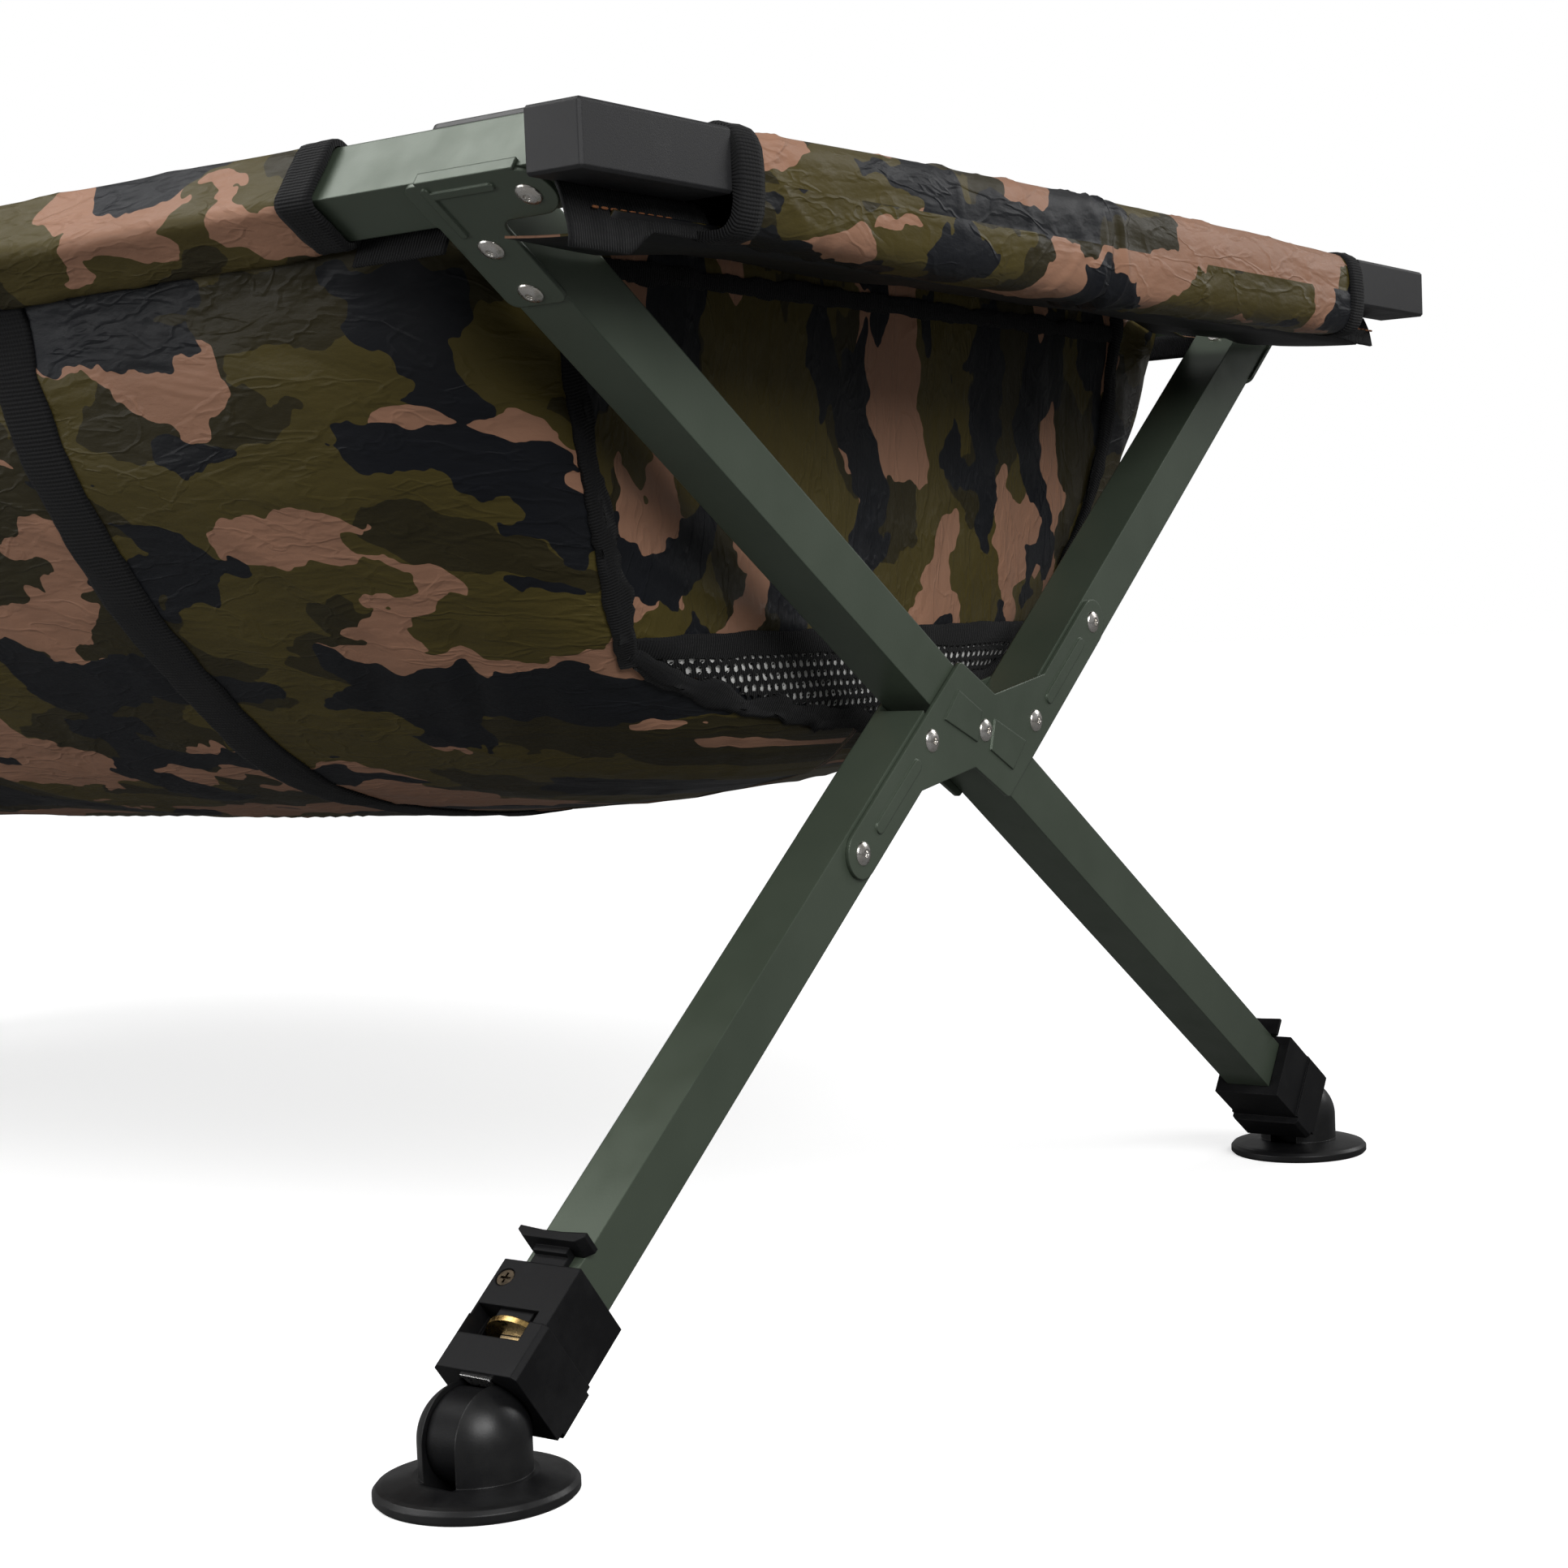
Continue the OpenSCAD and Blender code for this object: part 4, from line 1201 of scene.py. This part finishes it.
def make_corner_tape(end, side):
    """The bound edge that runs on from the end sleeve's hem under the cap, and its stitches."""
    x_sign, y_sign = END_SIGN[end], SIDE_SIGN[side]
    tip, droop = (0.295, 0.0075) if side == "left" else (0.285, 0.0015)
    ys = np.linspace(0.226, tip, 54)
    (low_x, low_z), (high_x, high_z) = (COT_HALF - 0.0165, 0.3868), (COT_HALF - 0.0205, 0.3984)
    points = np.zeros((len(ys), 7, 3))
    for i, y in enumerate(ys):
        hung = low_z - droop * min(1, max(0, (y - 0.255) / 0.012))
        for k, share in enumerate(np.linspace(0, 1, 7)):
            swell = 0.0012 * math.sin(math.pi * share) + 0.0008 * wave(y * 160, share * 2, x_sign)
            points[i, k] = (x_sign * (low_x + (high_x - low_x) * share + swell), y_sign * y,
                            hung + (high_z - hung) * share)
    tape = bound_strip(f"{end}_{side}_corner_tape", points, ys, 0.012, 0.0012)
    seams = [make_stitch(x_sign * (COT_HALF - 0.0159), y_sign * y, 0.3920)
             for y in np.arange(0.247, 0.285, 0.0044)]
    stitches = join_pieces(f"{end}_{side}_corner_stitches", seams)
    THREAD.put_on(stitches)
    ride_frame(side, tape, stitches)


def make_rail_shade_strip(end, side):
    """The black bound strip that closes the way between the sling and the bare end of a rail; its
    black also stands in for the shade under the rail's end.
    """
    x_sign, y_sign = END_SIGN[end], SIDE_SIGN[side]
    xs = np.linspace(0.4735, LEG_NEAR_X - 0.0012, 30)
    points = np.zeros((len(xs), 6, 3))
    for i, x in enumerate(xs):
        for k, share in enumerate(np.linspace(0, 1, 6)):
            ripple = 0.0006 * wave(x * 120, share * 2, x_sign + 2 * y_sign)
            points[i, k] = (x_sign * x, y_sign * (0.2718 - 0.0050 * share + ripple),
                            0.3872 + 0.0105 * share)
    # A black binding strip whose black is also painted shade under the rail's end.
    ride_frame(side, bound_strip(f"{end}_{side}_rail_shade_strip", points, xs, 0.0115, 0.0010))


def make_stitch(x, y, z):
    """Points and faces of one stitch of thread lying across the cot."""
    length, radius, sides = 0.0032, 0.00045, 8
    points = []
    for step, share in ((-0.5, 0.3), (-0.32, 1), (0.32, 1), (0.5, 0.3)):
        for k in range(sides):
            turn = 2 * math.pi * k / sides
            points.append((x + radius * share * math.cos(turn), y + step * length,
                           z + radius * share * math.sin(turn)))
    faces = [(a, d, c, b) for a, b, c, d in grid_faces(4, sides, True)]
    faces.append(tuple(reversed(range(sides))))
    faces.append(tuple(range(3 * sides, 4 * sides)))
    return points, faces


def join_pieces(name, parts):
    """One mesh object made of several closed meshes."""
    points, faces = [], []
    for part_points, part_faces in parts:
        base = len(points)
        points += part_points
        faces += [tuple(base + i for i in face) for face in part_faces]
    return mesh_object(name, points, faces)


# ---------------------------------------------------------------- feet
def make_spring_tab(end, side):
    """The steel leaf that shows under a foot's housing."""
    x_sign, y_sign = END_SIGN[end], SIDE_SIGN[side]
    angle = ARM_ANGLE if side == "left" else LONG_ANGLE
    up_leg = np.array((0, -y_sign * math.cos(angle), math.sin(angle)))
    outward = np.array((0, y_sign * math.sin(angle), math.cos(angle)))
    foot = np.array((x_sign * (COT_HALF - 0.072), y_sign * FOOT_Y, FOOT_Z))
    # The leaf's outline across and out from the foot, and its two faces up the leg, in millimetres
    outline = [(-6.3, 13.9), (5.0, 13.5), (5.6, 12.8), (5.6, 10.0), (4.9, 9.3), (-4.0, 9.6),
               (-4.8, 10.2)]
    points = [foot + np.array((x_sign, 0, 0)) * across / 1000 + up_leg * level / 1000
              + outward * out / 1000 for level in (12.3, 13.1) for across, out in outline]
    count = len(outline)
    faces = [tuple(range(count)), tuple(reversed(range(count, 2 * count)))]
    faces += [(k, k + count, (k + 1) % count + count, (k + 1) % count) for k in range(count)]
    if x_sign * y_sign > 0:
        faces = [face[::-1] for face in faces]
    tab = mesh_object(f"{end}_{side}_spring_tab", points, faces)
    tab.data.polygons.foreach_set("use_smooth", [False] * len(faces))
    MATERIALS["steel"].put_on(tab)
    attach(tab, LEG_BODY[side])


def build_fabric():
    grid, uv, arc = make_sling()
    skin = Skin(grid, True)
    front = (2 * SIDE_COLUMNS, 2 * SIDE_COLUMNS + 2 * END_COLUMNS)
    rear = (4 * SIDE_COLUMNS + 2 * END_COLUMNS, 4 * SIDE_COLUMNS + 4 * END_COLUMNS)
    middle = (front[0] + front[1]) // 2
    seam_row = row_at(grid, middle, END_WALL_BOTTOM)
    drain_row = row_at(grid, middle, DRAIN_TOP)
    make_trough(grid, uv, front, rear)
    wrapped = np.concatenate([grid, grid[:, :1]], axis=1)
    for end, columns in (("front", front), ("rear", rear)):
        make_end_wall(end, wrapped[:, columns[0]: columns[1] + 1], arc, drain_row, seam_row, skin)
    make_straps(skin)
    for side in SIDE_SIGN:
        make_rail_sleeve(side)
    for end in END_SIGN:
        make_end_sleeve(end)
        make_flap(end)
        for side in SIDE_SIGN:
            make_corner_tape(end, side)
            make_rail_shade_strip(end, side)
            make_spring_tab(end, side)


build_fabric()


def corners(box):
    return [[float(x) for x in corner] for corner in box]
